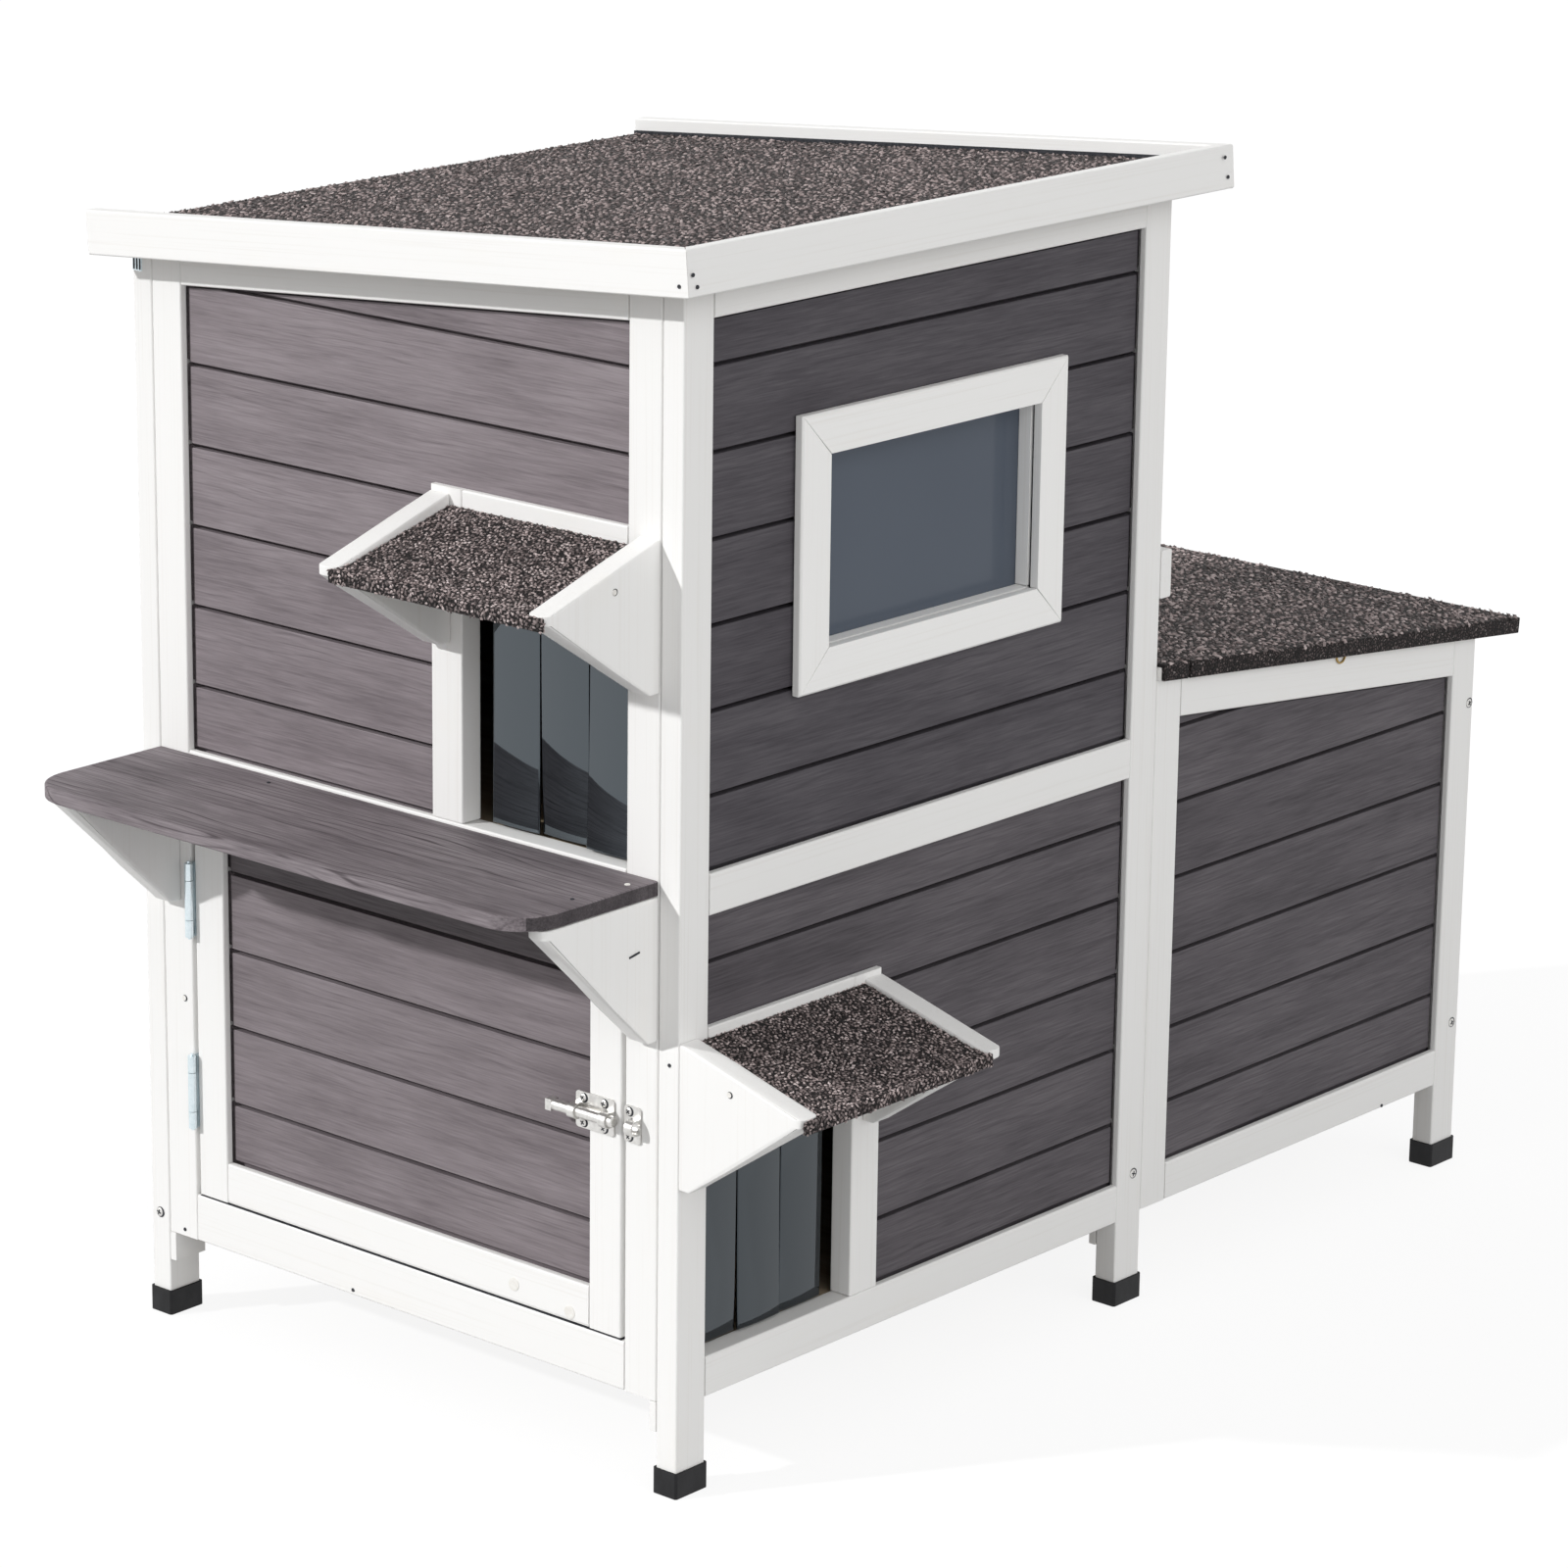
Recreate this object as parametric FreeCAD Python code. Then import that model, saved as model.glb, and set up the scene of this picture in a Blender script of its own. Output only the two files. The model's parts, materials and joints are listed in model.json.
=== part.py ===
import FreeCAD, Part
import math
import os

# Outdoor cat house in painted softwood: a two-storey house with a sloping felted roof, a hinged front
# door under a shelf, a strip-curtain cat door on each storey, and a lean-to extension with a hinged lid.
# Millimetres. While building: X = 0 on the centre line, the front face is Y = 0, the floor is Z = 0.
V = FreeCAD.Vector
X_AXIS = V(1, 0, 0)
Y_AXIS = V(0, 1, 0)
Z_AXIS = V(0, 0, 1)

# Main house
house_width = 490.0
house_depth = 486.0
wall_height = 792.7            # roof underside above the outer face of the right wall
roof_fall = 0.081              # drop of the roof per millimetre towards the left
frame_low = 62.0               # underside of the wall frames above the floor
mid_rail_low = 385.0
front_sill = 34.0              # height of the rail under the front door

# Timber sections
stock = 18.0                   # thickness of legs, rails, stiles, cheeks and brackets
member_width = 28.0            # width of legs, rails and stiles
edge_ease = 0.9                # flat taken off the long edges of planed timber
outline_ease = 0.9             # the same on cheeks, brackets and the shelf
board_thickness = 12.8
board_pitch = 54.7
least_board = 16.0             # narrowest board at the top of a field
rebate = 6.0                   # depth that the boards reach into the frame members
groove_width = 1.5             # half of the V groove between two boards
groove_depth = 2.2
front_joint = 457.0            # height of one joint between boards, per panel
upper_joint = 460.9
lower_joint = 352.6
door_joint = 168.0
extension_joint = 354.0

# Feet and floors
foot_height = 18.0
foot_wall = 1.3
foot_base = 2.0
block_thickness = 6.0
block_height = 21.0
cleat = 18.0
floor_thickness = 9.0

# Cat doors, one on each storey, and the passage to the extension
cat_door_width = 142.0
upper_header_top = 633.0
lower_header_top = 312.0
strip_count = 3
strip_gap = 1.2
strip_thickness = 2.0
strip_first = 3.0              # gap between the first strip and the side it starts from
strip_last = 13.6              # gap between the last strip and the jamb
strip_foot = 1.5               # gap between a strip and the sill
strip_set_back = 15.0          # strip centre behind the wall's outer face
strip_seat = 0.3               # gap between a strip's rounded top and its clamp bar
clamp_height = 10.0
clamp_depth = 6.0

# Window
window_width = 211.0
window_height = 124.6
window_head = 73.1             # top rail above the window's trim
window_trim = 28.2
window_trim_thickness = 7.0
trim_bevel = 1.5
window_lining = 3.0            # white strips over the boards' cut edges
lining_gap = 2.0               # shadow gap between the trim and the lining
pane_thickness = 3.0
pane_margin = 8.0
bead_thickness = 6.0

# Roof
roof_over_front = 28.0
roof_over_rear = 30.0
roof_over_right = 28.0
roof_over_left = 14.0
deck_thickness = 9.0
felt_thickness = 3.0
fascia_height = 30.0
fascia_thickness = 11.0
fascia_rise = 11.0             # fascia above the felt

# Canopies over the cat doors
canopy_height = 98.0
canopy_reach = 102.5
upper_canopy_fall = 30.7
lower_canopy_fall = 26.7
canopy_nose = 6.0
canopy_toe = 8.0
canopy_deck = 3.5
canopy_felt = 2.0
canopy_sink = 2.6              # felt below the cheeks' top edges
canopy_drop = 4.0              # header top above the cheeks' top edges
deck_front_inset = 3.0         # deck front edge behind the cheeks' noses, along the slope
flap_height = 8.5              # felt's turned-down front edge, before the cheeks' noses
flap_thickness = 3.5
flap_drop = 0.4                # flap's top below the noses' top
flap_run = 14.0                # length over which the felt rises to the flap
flap_near = 17.4               # flap past a cheek's inner face, at the house's front right corner
flap_far = 2.5                 # the same at the other cheek

# Shelf
shelf_reach = 122.0
shelf_thickness = 10.5
shelf_drop = 2.0               # shelf top below the middle rail's top
shelf_corner = 22.0
bracket_reach = 108.0
bracket_height = 98.5
bracket_nose = 6.0
bracket_toe = 8.0

# Front door
door_gap = 3.0
door_top_gap = 2.5
door_bottom_gap = 2.0

# Butt hinges
hinge_length = 52.0
hinge_leaf = 18.0
leaf_thickness = 1.2
knuckle_radius = 3.0
end_knuckle = 12.0             # length of the two end knuckles
knuckle_gap = 0.3
knuckle_stand = 0.5            # knuckle in front of the door's face
pin_radius = 1.25
pin_end = 1.5                  # pin past the end knuckles
pin_clearance = 0.06
hinge_inset = 73.8             # hinge centres from the door's ends
lid_hinge_x = 140.0

# Barrel bolt, drawn just clear of its keeper
bolt_rise = 5.2                # bolt above the door's middle
plate_length = 33.0
plate_height = 24.5
plate_overlap = 10.0           # plate past the door stile's inner edge
sheet = 1.2
bolt_radius = 3.8
bolt_clearance = 0.08
bolt_lift = 0.4                # bolt's bore above its plate
bolt_tip_gap = 0.6             # bolt tip short of the door's edge
guide_width = 6.0
guide_wall = 1.4
keeper_length = 14.0
keeper_inset = 0.8             # keeper from the stile's edge
plate_corner = 2.4
tail_length = 5.0              # square end that the bolt is pushed by
tail_gap = 0.5                 # tail from the plate when the bolt is home
bolt_travel = 14.0

# Extension
extension_depth = 389.0
extension_low = 64.5           # underside of the extension's frames
extension_height = 449.3       # side wall top at the main house
lid_fall = 0.1081
lid_seat = 0.3
lid_deck = 9.0
lid_felt = 2.5
lid_over_side = 3.0
lid_over_rear = 48.0
lid_hinge_gap = 2.0            # lid's front edge behind the fixed strip at the hinge rail
lid_lip = 0.4                  # felt below the lid's underside
lid_batten_width = 18.0
lid_batten_depth = 12.0
lid_batten_inset = 27.0        # batten ends inside the side walls
lid_batten_front = 45.0        # front batten from the lid's front edge
lid_batten_rear = 10.0         # rear batten from the rear wall
hinge_rail_height = 30.0
rear_batten_thickness = 12.0
rear_batten_height = 34.0
rear_batten_rise = 48.1        # rear batten above the lid's surface at its hinge

# Derived places
half_width = house_width / 2
inner_half = half_width - stock              # inner faces of the side walls
stile_half = inner_half - member_width       # inner edges of the front and rear stiles
board_recess = stock - board_thickness
mid_rail_high = mid_rail_low + member_width
rail_high = frame_low + member_width
extension_rail_high = extension_low + member_width
shelf_top = mid_rail_high - shelf_drop
house_rear = house_depth
extension_rear = house_depth + extension_depth
roof_angle = math.degrees(math.atan(roof_fall))
lid_angle = math.degrees(math.atan(lid_fall))
BEYOND = 2000.0                              # larger than the house, for cutting shapes

# Wall frames: u runs left to right seen from outside, d from the outer face inwards
Turn = FreeCAD.Placement
FRONT_WALL = Turn(V(-inner_half, 0, 0), FreeCAD.Rotation(Z_AXIS, 0))
RIGHT_WALL = Turn(V(half_width, 0, 0), FreeCAD.Rotation(Z_AXIS, 90))
REAR_WALL = Turn(V(inner_half, house_rear, 0), FreeCAD.Rotation(Z_AXIS, 180))
LEFT_WALL = Turn(V(-half_width, house_rear, 0), FreeCAD.Rotation(Z_AXIS, -90))
EXT_RIGHT_WALL = Turn(V(half_width, house_rear, 0), FreeCAD.Rotation(Z_AXIS, 90))
EXT_LEFT_WALL = Turn(V(-half_width, extension_rear, 0), FreeCAD.Rotation(Z_AXIS, -90))
EXT_REAR_WALL = Turn(V(inner_half, extension_rear, 0), FreeCAD.Rotation(Z_AXIS, 180))
# Sloping planes: local Z = 0 is the underside of the roof and the top of the extension's walls
ROOF_PLANE = Turn(V(half_width, 0, wall_height), FreeCAD.Rotation(Y_AXIS, -roof_angle))
LID_PLANE = Turn(V(0, house_rear, extension_height), FreeCAD.Rotation(X_AXIS, -lid_angle))


def box(x0, x1, y0, y1, z0, z1):
    """A plain box between two corners."""
    return Part.makeBox(x1 - x0, y1 - y0, z1 - z0, V(x0, y0, z0))


def put(shape, frame):
    """The shape moved from a wall's or a roof's own frame to the house's frame."""
    return shape.transformed(frame.toMatrix(), copy=True)


def member(x0, x1, y0, y1, z0, z1):
    """A planed length of timber with its long edges eased."""
    bar = box(x0, x1, y0, y1, z0, z1)
    spans = (x1 - x0, y1 - y0, z1 - z0)
    along = (X_AXIS, Y_AXIS, Z_AXIS)[spans.index(max(spans))]
    long_edges = [e for e in bar.Edges if abs(e.tangentAt(e.FirstParameter).dot(along)) > 0.99]
    return bar.makeChamfer(edge_ease, long_edges)


def prism(points, direction):
    """A flat outline extruded along a direction."""
    return Part.Face(Part.makePolygon(points + points[:1])).extrude(direction)


def cut_shape(outline, x0, low):
    """A sawn piece of stock whose outline is (reach, rise) pairs from the wall, with its free edges eased."""
    piece = prism([V(x0, -reach, low + rise) for reach, rise in outline], V(stock, 0, 0))
    free = [e for e in piece.Edges if abs(e.tangentAt(e.FirstParameter).x) < 0.01
            and any(abs(v.Y) > 0.01 for v in e.Vertexes)]
    return piece.makeChamfer(outline_ease, free)


def above(frame, height):
    """Everything over a plane that lies a height above a sloping plane."""
    return put(box(-BEYOND, BEYOND, -BEYOND, BEYOND, height, BEYOND), frame)


def cut_all(shapes, tool):
    """Each shape less the tool, as single solids."""
    return [s for shape in shapes for s in shape.cut(tool).Solids]


def row_heights(low, high, joint):
    """Heights where the board rows of a field start and end."""
    first = math.floor((low - joint) / board_pitch) + 1
    last = math.ceil((high - least_board - joint) / board_pitch) - 1
    return [low] + [joint + k * board_pitch for k in range(first, last + 1)] + [high]


def boards(field, wall, joint):
    """Grooved boards that fill a field; the field is already in the house's frame."""
    local = field.transformed(wall.inverse().toMatrix(), copy=True).BoundBox
    cuts = row_heights(local.ZMin, local.ZMax, joint)
    solids = []
    for low, high in zip(cuts[:-1], cuts[1:]):
        outer = board_recess
        profile = [V(local.XMin, outer + groove_depth, low), V(local.XMin, outer, low + groove_width),
                   V(local.XMin, outer, high - groove_width), V(local.XMin, outer + groove_depth, high),
                   V(local.XMin, stock, high), V(local.XMin, stock, low)]
        row = prism(profile, V(local.XLength, 0, 0))
        solids += put(row, wall).common(field).Solids
    return solids


def field(wall, u0, u1, z0, z1):
    """The pocket that a panel of boards fills, reaching into the rebates of its frame."""
    return put(box(u0 - rebate, u1 + rebate, board_recess, stock, z0 - rebate, z1 + rebate), wall)


def opening(wall, u0, u1, z0, z1):
    """A cut through a wall."""
    return put(box(u0, u1, -stock, 2 * stock, z0, z1), wall)


def wall_top(x):
    """Roof underside above a place across the house."""
    return wall_height - (half_width - x) * roof_fall


# Side walls
def side_members(wall, length, top_low):
    """Two legs and three rails of a main side wall."""
    far = length - member_width
    legs = [member(u, u + member_width, 0, stock, foot_base, wall_height + stock) for u in (0, far)]
    lows = (frame_low, mid_rail_low)
    rails = [member(member_width, far, 0, stock, z, z + member_width) for z in lows]
    rails.append(member(member_width, far, 0, stock, top_low, top_low + member_width + stock))
    return [put(m, wall) for m in legs + rails]


def side_fields(wall, length, top_low):
    """Lower and upper board fields of a main side wall."""
    far = length - member_width
    lower = field(wall, member_width, far, rail_high, mid_rail_low)
    upper = field(wall, member_width, far, mid_rail_high, top_low)
    return lower, upper


roof_space = above(ROOF_PLANE, 0)
right_top_low = wall_top(half_width) - member_width
left_top_low = wall_top(-half_width) - member_width
jamb_near = member_width + cat_door_width
jamb_far = jamb_near + member_width

right_members = side_members(RIGHT_WALL, house_depth, right_top_low)
lower_header_low = lower_header_top - member_width
right_members += [
    put(member(jamb_near, jamb_far, 0, stock, rail_high, lower_header_top), RIGHT_WALL),
    put(member(member_width, jamb_near, 0, stock, lower_header_low, lower_header_top), RIGHT_WALL)]
right_lower, right_upper = side_fields(RIGHT_WALL, house_depth, right_top_low)
right_lower = right_lower.cut(opening(RIGHT_WALL, 0, jamb_far - rebate, frame_low, lower_header_top - rebate))
window_mid = house_depth / 2
window_near = window_mid - window_width / 2
window_far = window_mid + window_width / 2
window_high = right_top_low - window_head - window_trim
window_low = window_high - window_height
lined = (window_near - window_lining, window_far + window_lining,
         window_low - window_lining, window_high + window_lining)
right_upper = right_upper.cut(opening(RIGHT_WALL, *lined))
right_frame = cut_all(cut_all(cut_all(right_members, roof_space), right_lower), right_upper)

left_lower, left_upper = side_fields(LEFT_WALL, house_depth, left_top_low)
left_members = cut_all(side_members(LEFT_WALL, house_depth, left_top_low), roof_space)
left_frame = cut_all(cut_all(left_members, left_lower), left_upper)


# Front and rear frames, set between the side walls
def cross_members(wall, sill):
    """Two stiles, a bottom rail, a mid rail and a top rail that follows the roof."""
    width = 2 * inner_half
    right_stile = width - member_width
    bars = [member(u, u + member_width, 0, stock, frame_low, wall_height + stock) for u in (0, right_stile)]
    for low, high in ((frame_low, frame_low + sill), (mid_rail_low, mid_rail_high)):
        bars.append(member(member_width, right_stile, 0, stock, low, high))
    bars = cut_all([put(b, wall) for b in bars], roof_space)
    y = wall.Base.y
    inward = stock if y == 0 else -stock
    y0, y1 = min(y, y + inward), max(y, y + inward)
    top = put(member(-2 * house_width, house_width, y0, y1, -member_width, 0), ROOF_PLANE)
    between = box(-stile_half, stile_half, -BEYOND, BEYOND, 0, BEYOND)
    return bars + top.common(between).Solids


def upper_cross_field(wall):
    """Upper board field of a front or rear wall, cut to the slope of its top rail."""
    width = 2 * inner_half
    whole = field(wall, member_width, width - member_width, mid_rail_high, wall_height)
    return whole.cut(above(ROOF_PLANE, rebate - member_width))


front_width = 2 * inner_half
front_stile = front_width - member_width
front_jamb_far = front_stile - cat_door_width
front_jamb_near = front_jamb_far - member_width
upper_header_low = upper_header_top - member_width
front_members = cross_members(FRONT_WALL, front_sill)
front_members += [
    put(member(front_jamb_near, front_jamb_far, 0, stock, mid_rail_high, upper_header_top), FRONT_WALL),
    put(member(front_jamb_far, front_stile, 0, stock, upper_header_low, upper_header_top), FRONT_WALL)]
front_upper = upper_cross_field(FRONT_WALL)
front_upper = front_upper.cut(
    opening(FRONT_WALL, front_jamb_near + rebate, front_width, frame_low, upper_header_top - rebate))
front_frame = cut_all(front_members, front_upper)

passage_near = front_width / 2 - cat_door_width / 2
passage_far = passage_near + cat_door_width
rear_members = cross_members(REAR_WALL, member_width)
for u in (passage_near - member_width, passage_far):
    rear_members.append(put(member(u, u + member_width, 0, stock, rail_high, lower_header_top), REAR_WALL))
rear_members.append(
    put(member(passage_near, passage_far, 0, stock, lower_header_low, lower_header_top), REAR_WALL))
rear_upper = upper_cross_field(REAR_WALL)
rear_lower = field(REAR_WALL, member_width, front_stile, rail_high, mid_rail_low)
passage_edge = member_width - rebate
rear_lower = rear_lower.cut(opening(REAR_WALL, passage_near - passage_edge, passage_far + passage_edge,
                                    frame_low, lower_header_top - rebate))
rear_frame = cut_all(cut_all(rear_members, rear_upper), rear_lower)


# Window in the right wall
def window_trim_frame():
    """Four mitred strips with an eased outer edge, planted on the boards."""
    face = board_recess - window_trim_thickness
    outer = (window_near - window_trim, window_far + window_trim, window_low - window_trim,
             window_high + window_trim)
    inner = (window_near, window_far, window_low, window_high)
    inner_loop = [(inner[0], inner[2]), (inner[1], inner[2]), (inner[1], inner[3]), (inner[0], inner[3])]
    outer_loop = [(outer[0], outer[2]), (outer[1], outer[2]), (outer[1], outer[3]), (outer[0], outer[3])]
    slab = box(outer[0], outer[1], face, board_recess, outer[2], outer[3])
    rim = [e for e in slab.Edges if all(abs(v.Y - face) < 0.01 for v in e.Vertexes)]
    slab = slab.makeChamfer(trim_bevel, rim)
    strips = []
    for k in range(4):
        corners = [inner_loop[k], inner_loop[(k + 1) % 4], outer_loop[(k + 1) % 4], outer_loop[k]]
        wedge = prism([V(u, face, z) for u, z in corners], V(0, window_trim_thickness, 0))
        strips += slab.common(wedge).Solids
    return [put(s, RIGHT_WALL) for s in strips]


def window_strips(width, low, high):
    """Four square-cut strips round the window between two depths in the wall."""
    near, far = window_near - width, window_far + width
    strips = [box(near, far, low, high, z, z + width) for z in (window_low - width, window_high)]
    strips += [box(u, u + width, low, high, window_low, window_high) for u in (near, window_far)]
    return [put(s, RIGHT_WALL) for s in strips]


pane_inside = stock + pane_thickness
window_pane = put(box(window_near - pane_margin, window_far + pane_margin, stock, pane_inside,
                      window_low - pane_margin, window_high + pane_margin), RIGHT_WALL)


# Feet, corner blocks and floors
def foot_cap(x0, y0):
    """A plastic cup over the end of a leg whose low corner is at x0, y0."""
    cup = box(x0 - foot_wall, x0 + stock + foot_wall, y0 - foot_wall, y0 + member_width + foot_wall,
              0, foot_height)
    uprights = [e for e in cup.Edges if abs(e.tangentAt(e.FirstParameter).z) > 0.99]
    cup = cup.makeChamfer(foot_wall, uprights)
    return cup.cut(box(x0, x0 + stock, y0, y0 + member_width, foot_base, foot_height))


leg_rows = (0, house_rear - member_width, extension_rear - member_width)
foot_caps = [foot_cap(x, y) for x in (-half_width, inner_half) for y in leg_rows]
corner_blocks = [box(x, x + block_thickness, y, y + member_width, frame_low - block_height, frame_low)
                 for x in (-inner_half, inner_half - block_thickness) for y in leg_rows[:2]]

room_front = stock
room_rear = house_rear - stock
extension_room_rear = extension_rear - stock
upper_floor_low = mid_rail_low + cleat


def floor(y0, y1, low):
    """A floor panel between the side walls."""
    return box(-inner_half, inner_half, y0, y1, low, low + floor_thickness)


main_floor = floor(room_front, room_rear, frame_low + cleat)
upper_floor = floor(room_front, room_rear, upper_floor_low)
extension_floor = floor(house_rear, extension_room_rear, extension_low + cleat)
floor_cleats = []
for x in (-inner_half, inner_half - cleat):
    for y0, y1, low in ((room_front, room_rear, frame_low), (room_front, room_rear, mid_rail_low),
                        (house_rear, extension_room_rear, extension_low)):
        floor_cleats.append(box(x, x + cleat, y0, y1, low, low + cleat))

# Roof, flat in its own frame and then tilted
roof_left = -house_width - roof_over_left
roof_right_in = roof_over_right - fascia_thickness
roof_front_in = fascia_thickness - roof_over_front
roof_rear_in = house_rear + roof_over_rear - fascia_thickness
felt_top = deck_thickness + felt_thickness
fascia_high = felt_top + fascia_rise
fascia_low = fascia_high - fascia_height


def fascia(x0, x1, y0, y1, mitres):
    """A fascia board on the roof's edge, cut off at its mitred corners."""
    board = member(x0, x1, y0, y1, fascia_low, fascia_high)
    for tool in mitres:
        board = board.cut(tool)
    return put(board, ROOF_PLANE)


def mitre_side(y, way, side):
    """What lies on one side of a mitre plane that starts at the roof's right edge and the given y."""
    run = V(-BEYOND, way * BEYOND, 0)
    corner = V(roof_over_right, y, -BEYOND)
    return prism([corner + run, corner - run, corner - run + side, corner + run + side], V(0, 0, 2 * BEYOND))


roof_deck = box(roof_left + felt_thickness, roof_right_in, roof_front_in, roof_rear_in, 0, deck_thickness)
roof_felt = box(roof_left, roof_right_in, roof_front_in, roof_rear_in, 0, felt_top).cut(roof_deck)
roof_deck = put(roof_deck, ROOF_PLANE)
roof_felt = put(roof_felt, ROOF_PLANE)
roof_rear_out = roof_rear_in + fascia_thickness
RIGHTWARDS = V(BEYOND, 0, 0)
front_fascia = fascia(roof_left, roof_over_right, -roof_over_front, roof_front_in,
                      [mitre_side(-roof_over_front, 1, RIGHTWARDS)])
rear_fascia = fascia(roof_left, roof_over_right, roof_rear_in, roof_rear_out,
                     [mitre_side(roof_rear_out, -1, RIGHTWARDS)])
right_fascia = fascia(roof_right_in, roof_over_right, -roof_over_front, roof_rear_out,
                      [mitre_side(-roof_over_front, 1, -RIGHTWARDS), mitre_side(roof_rear_out, -1, -RIGHTWARDS)])


# Canopies over the cat doors
def canopy(wall, u0, u1, low, fall, flap0, flap1):
    """Cheeks, deck and felt of a small pent roof on a wall; flap0 and flap1 are the flap's ends past the cheeks."""
    angle = math.degrees(math.atan2(fall, canopy_reach))
    slope_length = math.hypot(canopy_reach, fall)
    nose_top = canopy_height - fall
    outline = [(0, 0), (canopy_toe, 0), (canopy_reach, nose_top - canopy_nose), (canopy_reach, nose_top),
               (0, canopy_height)]
    cheeks = [cut_shape(outline, u, low) for u in (u0, u1 - stock)]
    inner0, inner1 = u0 + stock, u1 - stock
    # The deck's frame: local -Y runs down the slope from the cheeks' top at the wall
    slope = Turn(V(0, 0, low + canopy_height), FreeCAD.Rotation(X_AXIS, angle))
    front = slope_length - deck_front_inset
    felt_low = -canopy_sink - canopy_felt
    deck_low = felt_low - canopy_deck
    deck_flat = box(inner0, inner1, -front, canopy_height, deck_low, felt_low)
    felt_flat = box(inner0, inner1, -front - canopy_felt, canopy_height, deck_low, -canopy_sink)
    felt_flat = felt_flat.cut(deck_flat)
    wall_side = box(-BEYOND, BEYOND, 0, BEYOND, -BEYOND, BEYOND)
    deck = put(deck_flat, slope).cut(wall_side)
    flap_top = low + nose_top - flap_drop
    flap_low = flap_top - flap_height
    flap = box(inner0 - flap0, inner1 + flap1, -canopy_reach - flap_thickness, -canopy_reach, flap_low, flap_top)
    rise_start = flap_run - canopy_reach
    surface = slope.multVec(V(0, rise_start / math.cos(math.radians(angle)), -canopy_sink))
    turn = [V(inner0, surface.y, surface.z), V(inner0, -canopy_reach, flap_top),
            V(inner0, -canopy_reach, flap_low), V(inner0, surface.y, flap_low)]
    turned = prism(turn, V(inner1 - inner0, 0, 0))
    felt = put(felt_flat, slope).cut(wall_side).fuse([flap, turned]).cut(deck).removeSplitter()
    return [put(s, wall) for s in cheeks], put(deck, wall), put(felt, wall)


upper_canopy_low = upper_header_top - canopy_drop - canopy_height
lower_canopy_low = lower_header_top - canopy_drop - canopy_height
upper_canopy = canopy(FRONT_WALL, front_jamb_near, front_width, upper_canopy_low, upper_canopy_fall,
                      flap_far, flap_near)
lower_canopy = canopy(RIGHT_WALL, 0, jamb_far, lower_canopy_low, lower_canopy_fall, flap_near, flap_far)

# Shelf and brackets
shelf_low = shelf_top - shelf_thickness
shelf = box(-inner_half, inner_half, -shelf_reach, 0, shelf_low, shelf_top)
shelf_corners = [e for e in shelf.Edges if abs(e.tangentAt(e.FirstParameter).z) > 0.99
                 and e.Vertexes[0].Y < -shelf_reach / 2]
shelf = shelf.makeFillet(shelf_corner, shelf_corners)
shelf_rim = [e for e in shelf.Edges if abs(e.Vertexes[0].Z - e.Vertexes[-1].Z) < 0.01
             and any(v.Y < -0.01 for v in e.Vertexes)]
shelf = shelf.makeChamfer(outline_ease, shelf_rim)
bracket_low = shelf_low - bracket_height
bracket_outline = [(0, 0), (bracket_toe, 0), (bracket_reach, bracket_height - bracket_nose),
                   (bracket_reach, bracket_height), (0, bracket_height)]
shelf_brackets = [cut_shape(bracket_outline, x, bracket_low) for x in (-inner_half, inner_half - stock)]

# Front door
door_left = -stile_half + door_gap
door_right = stile_half - door_gap
door_low = frame_low + front_sill + door_bottom_gap
door_high = mid_rail_low - door_top_gap
door_inner_left = door_left + member_width
door_inner_right = door_right - member_width
door_members = [member(x, x + member_width, 0, stock, door_low, door_high) for x in (door_left, door_inner_right)]
for low in (door_low, door_high - member_width):
    door_members.append(member(door_inner_left, door_inner_right, 0, stock, low, low + member_width))
door_field = box(door_inner_left - rebate, door_inner_right + rebate, board_recess, stock,
                 door_low + member_width - rebate, door_high - member_width + rebate)
door_frame = cut_all(door_members, door_field)
door_boards = boards(door_field, FRONT_WALL, door_joint)


# Butt hinges
def hinge_frame(centre, axis, leaf_way):
    """A frame with local Z on the hinge axis and local X along a leaf."""
    side = axis.cross(leaf_way)
    return FreeCAD.Placement(FreeCAD.Matrix(
        leaf_way.x, side.x, axis.x, centre.x, leaf_way.y, side.y, axis.y, centre.y,
        leaf_way.z, side.z, axis.z, centre.z, 0, 0, 0, 1))


hinge_end = hinge_length / 2
knuckle_end = hinge_end - end_knuckle
knuckle_side = knuckle_end - knuckle_gap / 2
END_KNUCKLES = [(-hinge_end, -knuckle_end - knuckle_gap / 2), (knuckle_end + knuckle_gap / 2, hinge_end)]
MIDDLE_KNUCKLE = [(-knuckle_side, knuckle_side)]


def hinge_half(frame, low, high, knuckles, reach):
    """A leaf between two local Y heights, with its knuckles between local Z heights."""
    clear = knuckle_radius + knuckle_gap
    shape = box(clear, reach, low, high, -hinge_end, hinge_end)
    for z0, z1 in knuckles:
        barrel = Part.makeCylinder(knuckle_radius, z1 - z0, V(0, 0, z0))
        tab = box(0, clear, low, high, z0, z1)
        shape = shape.fuse(barrel).fuse(tab)
    bore = Part.makeCylinder(pin_radius + pin_clearance, hinge_length, V(0, 0, -hinge_end))
    return put(shape.cut(bore).removeSplitter(), frame)


def hinge_pin(frame):
    """The pin through the knuckles."""
    pin = Part.makeCylinder(pin_radius, hinge_length + 2 * pin_end, V(0, 0, -hinge_end - pin_end))
    return put(pin, frame)


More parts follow.
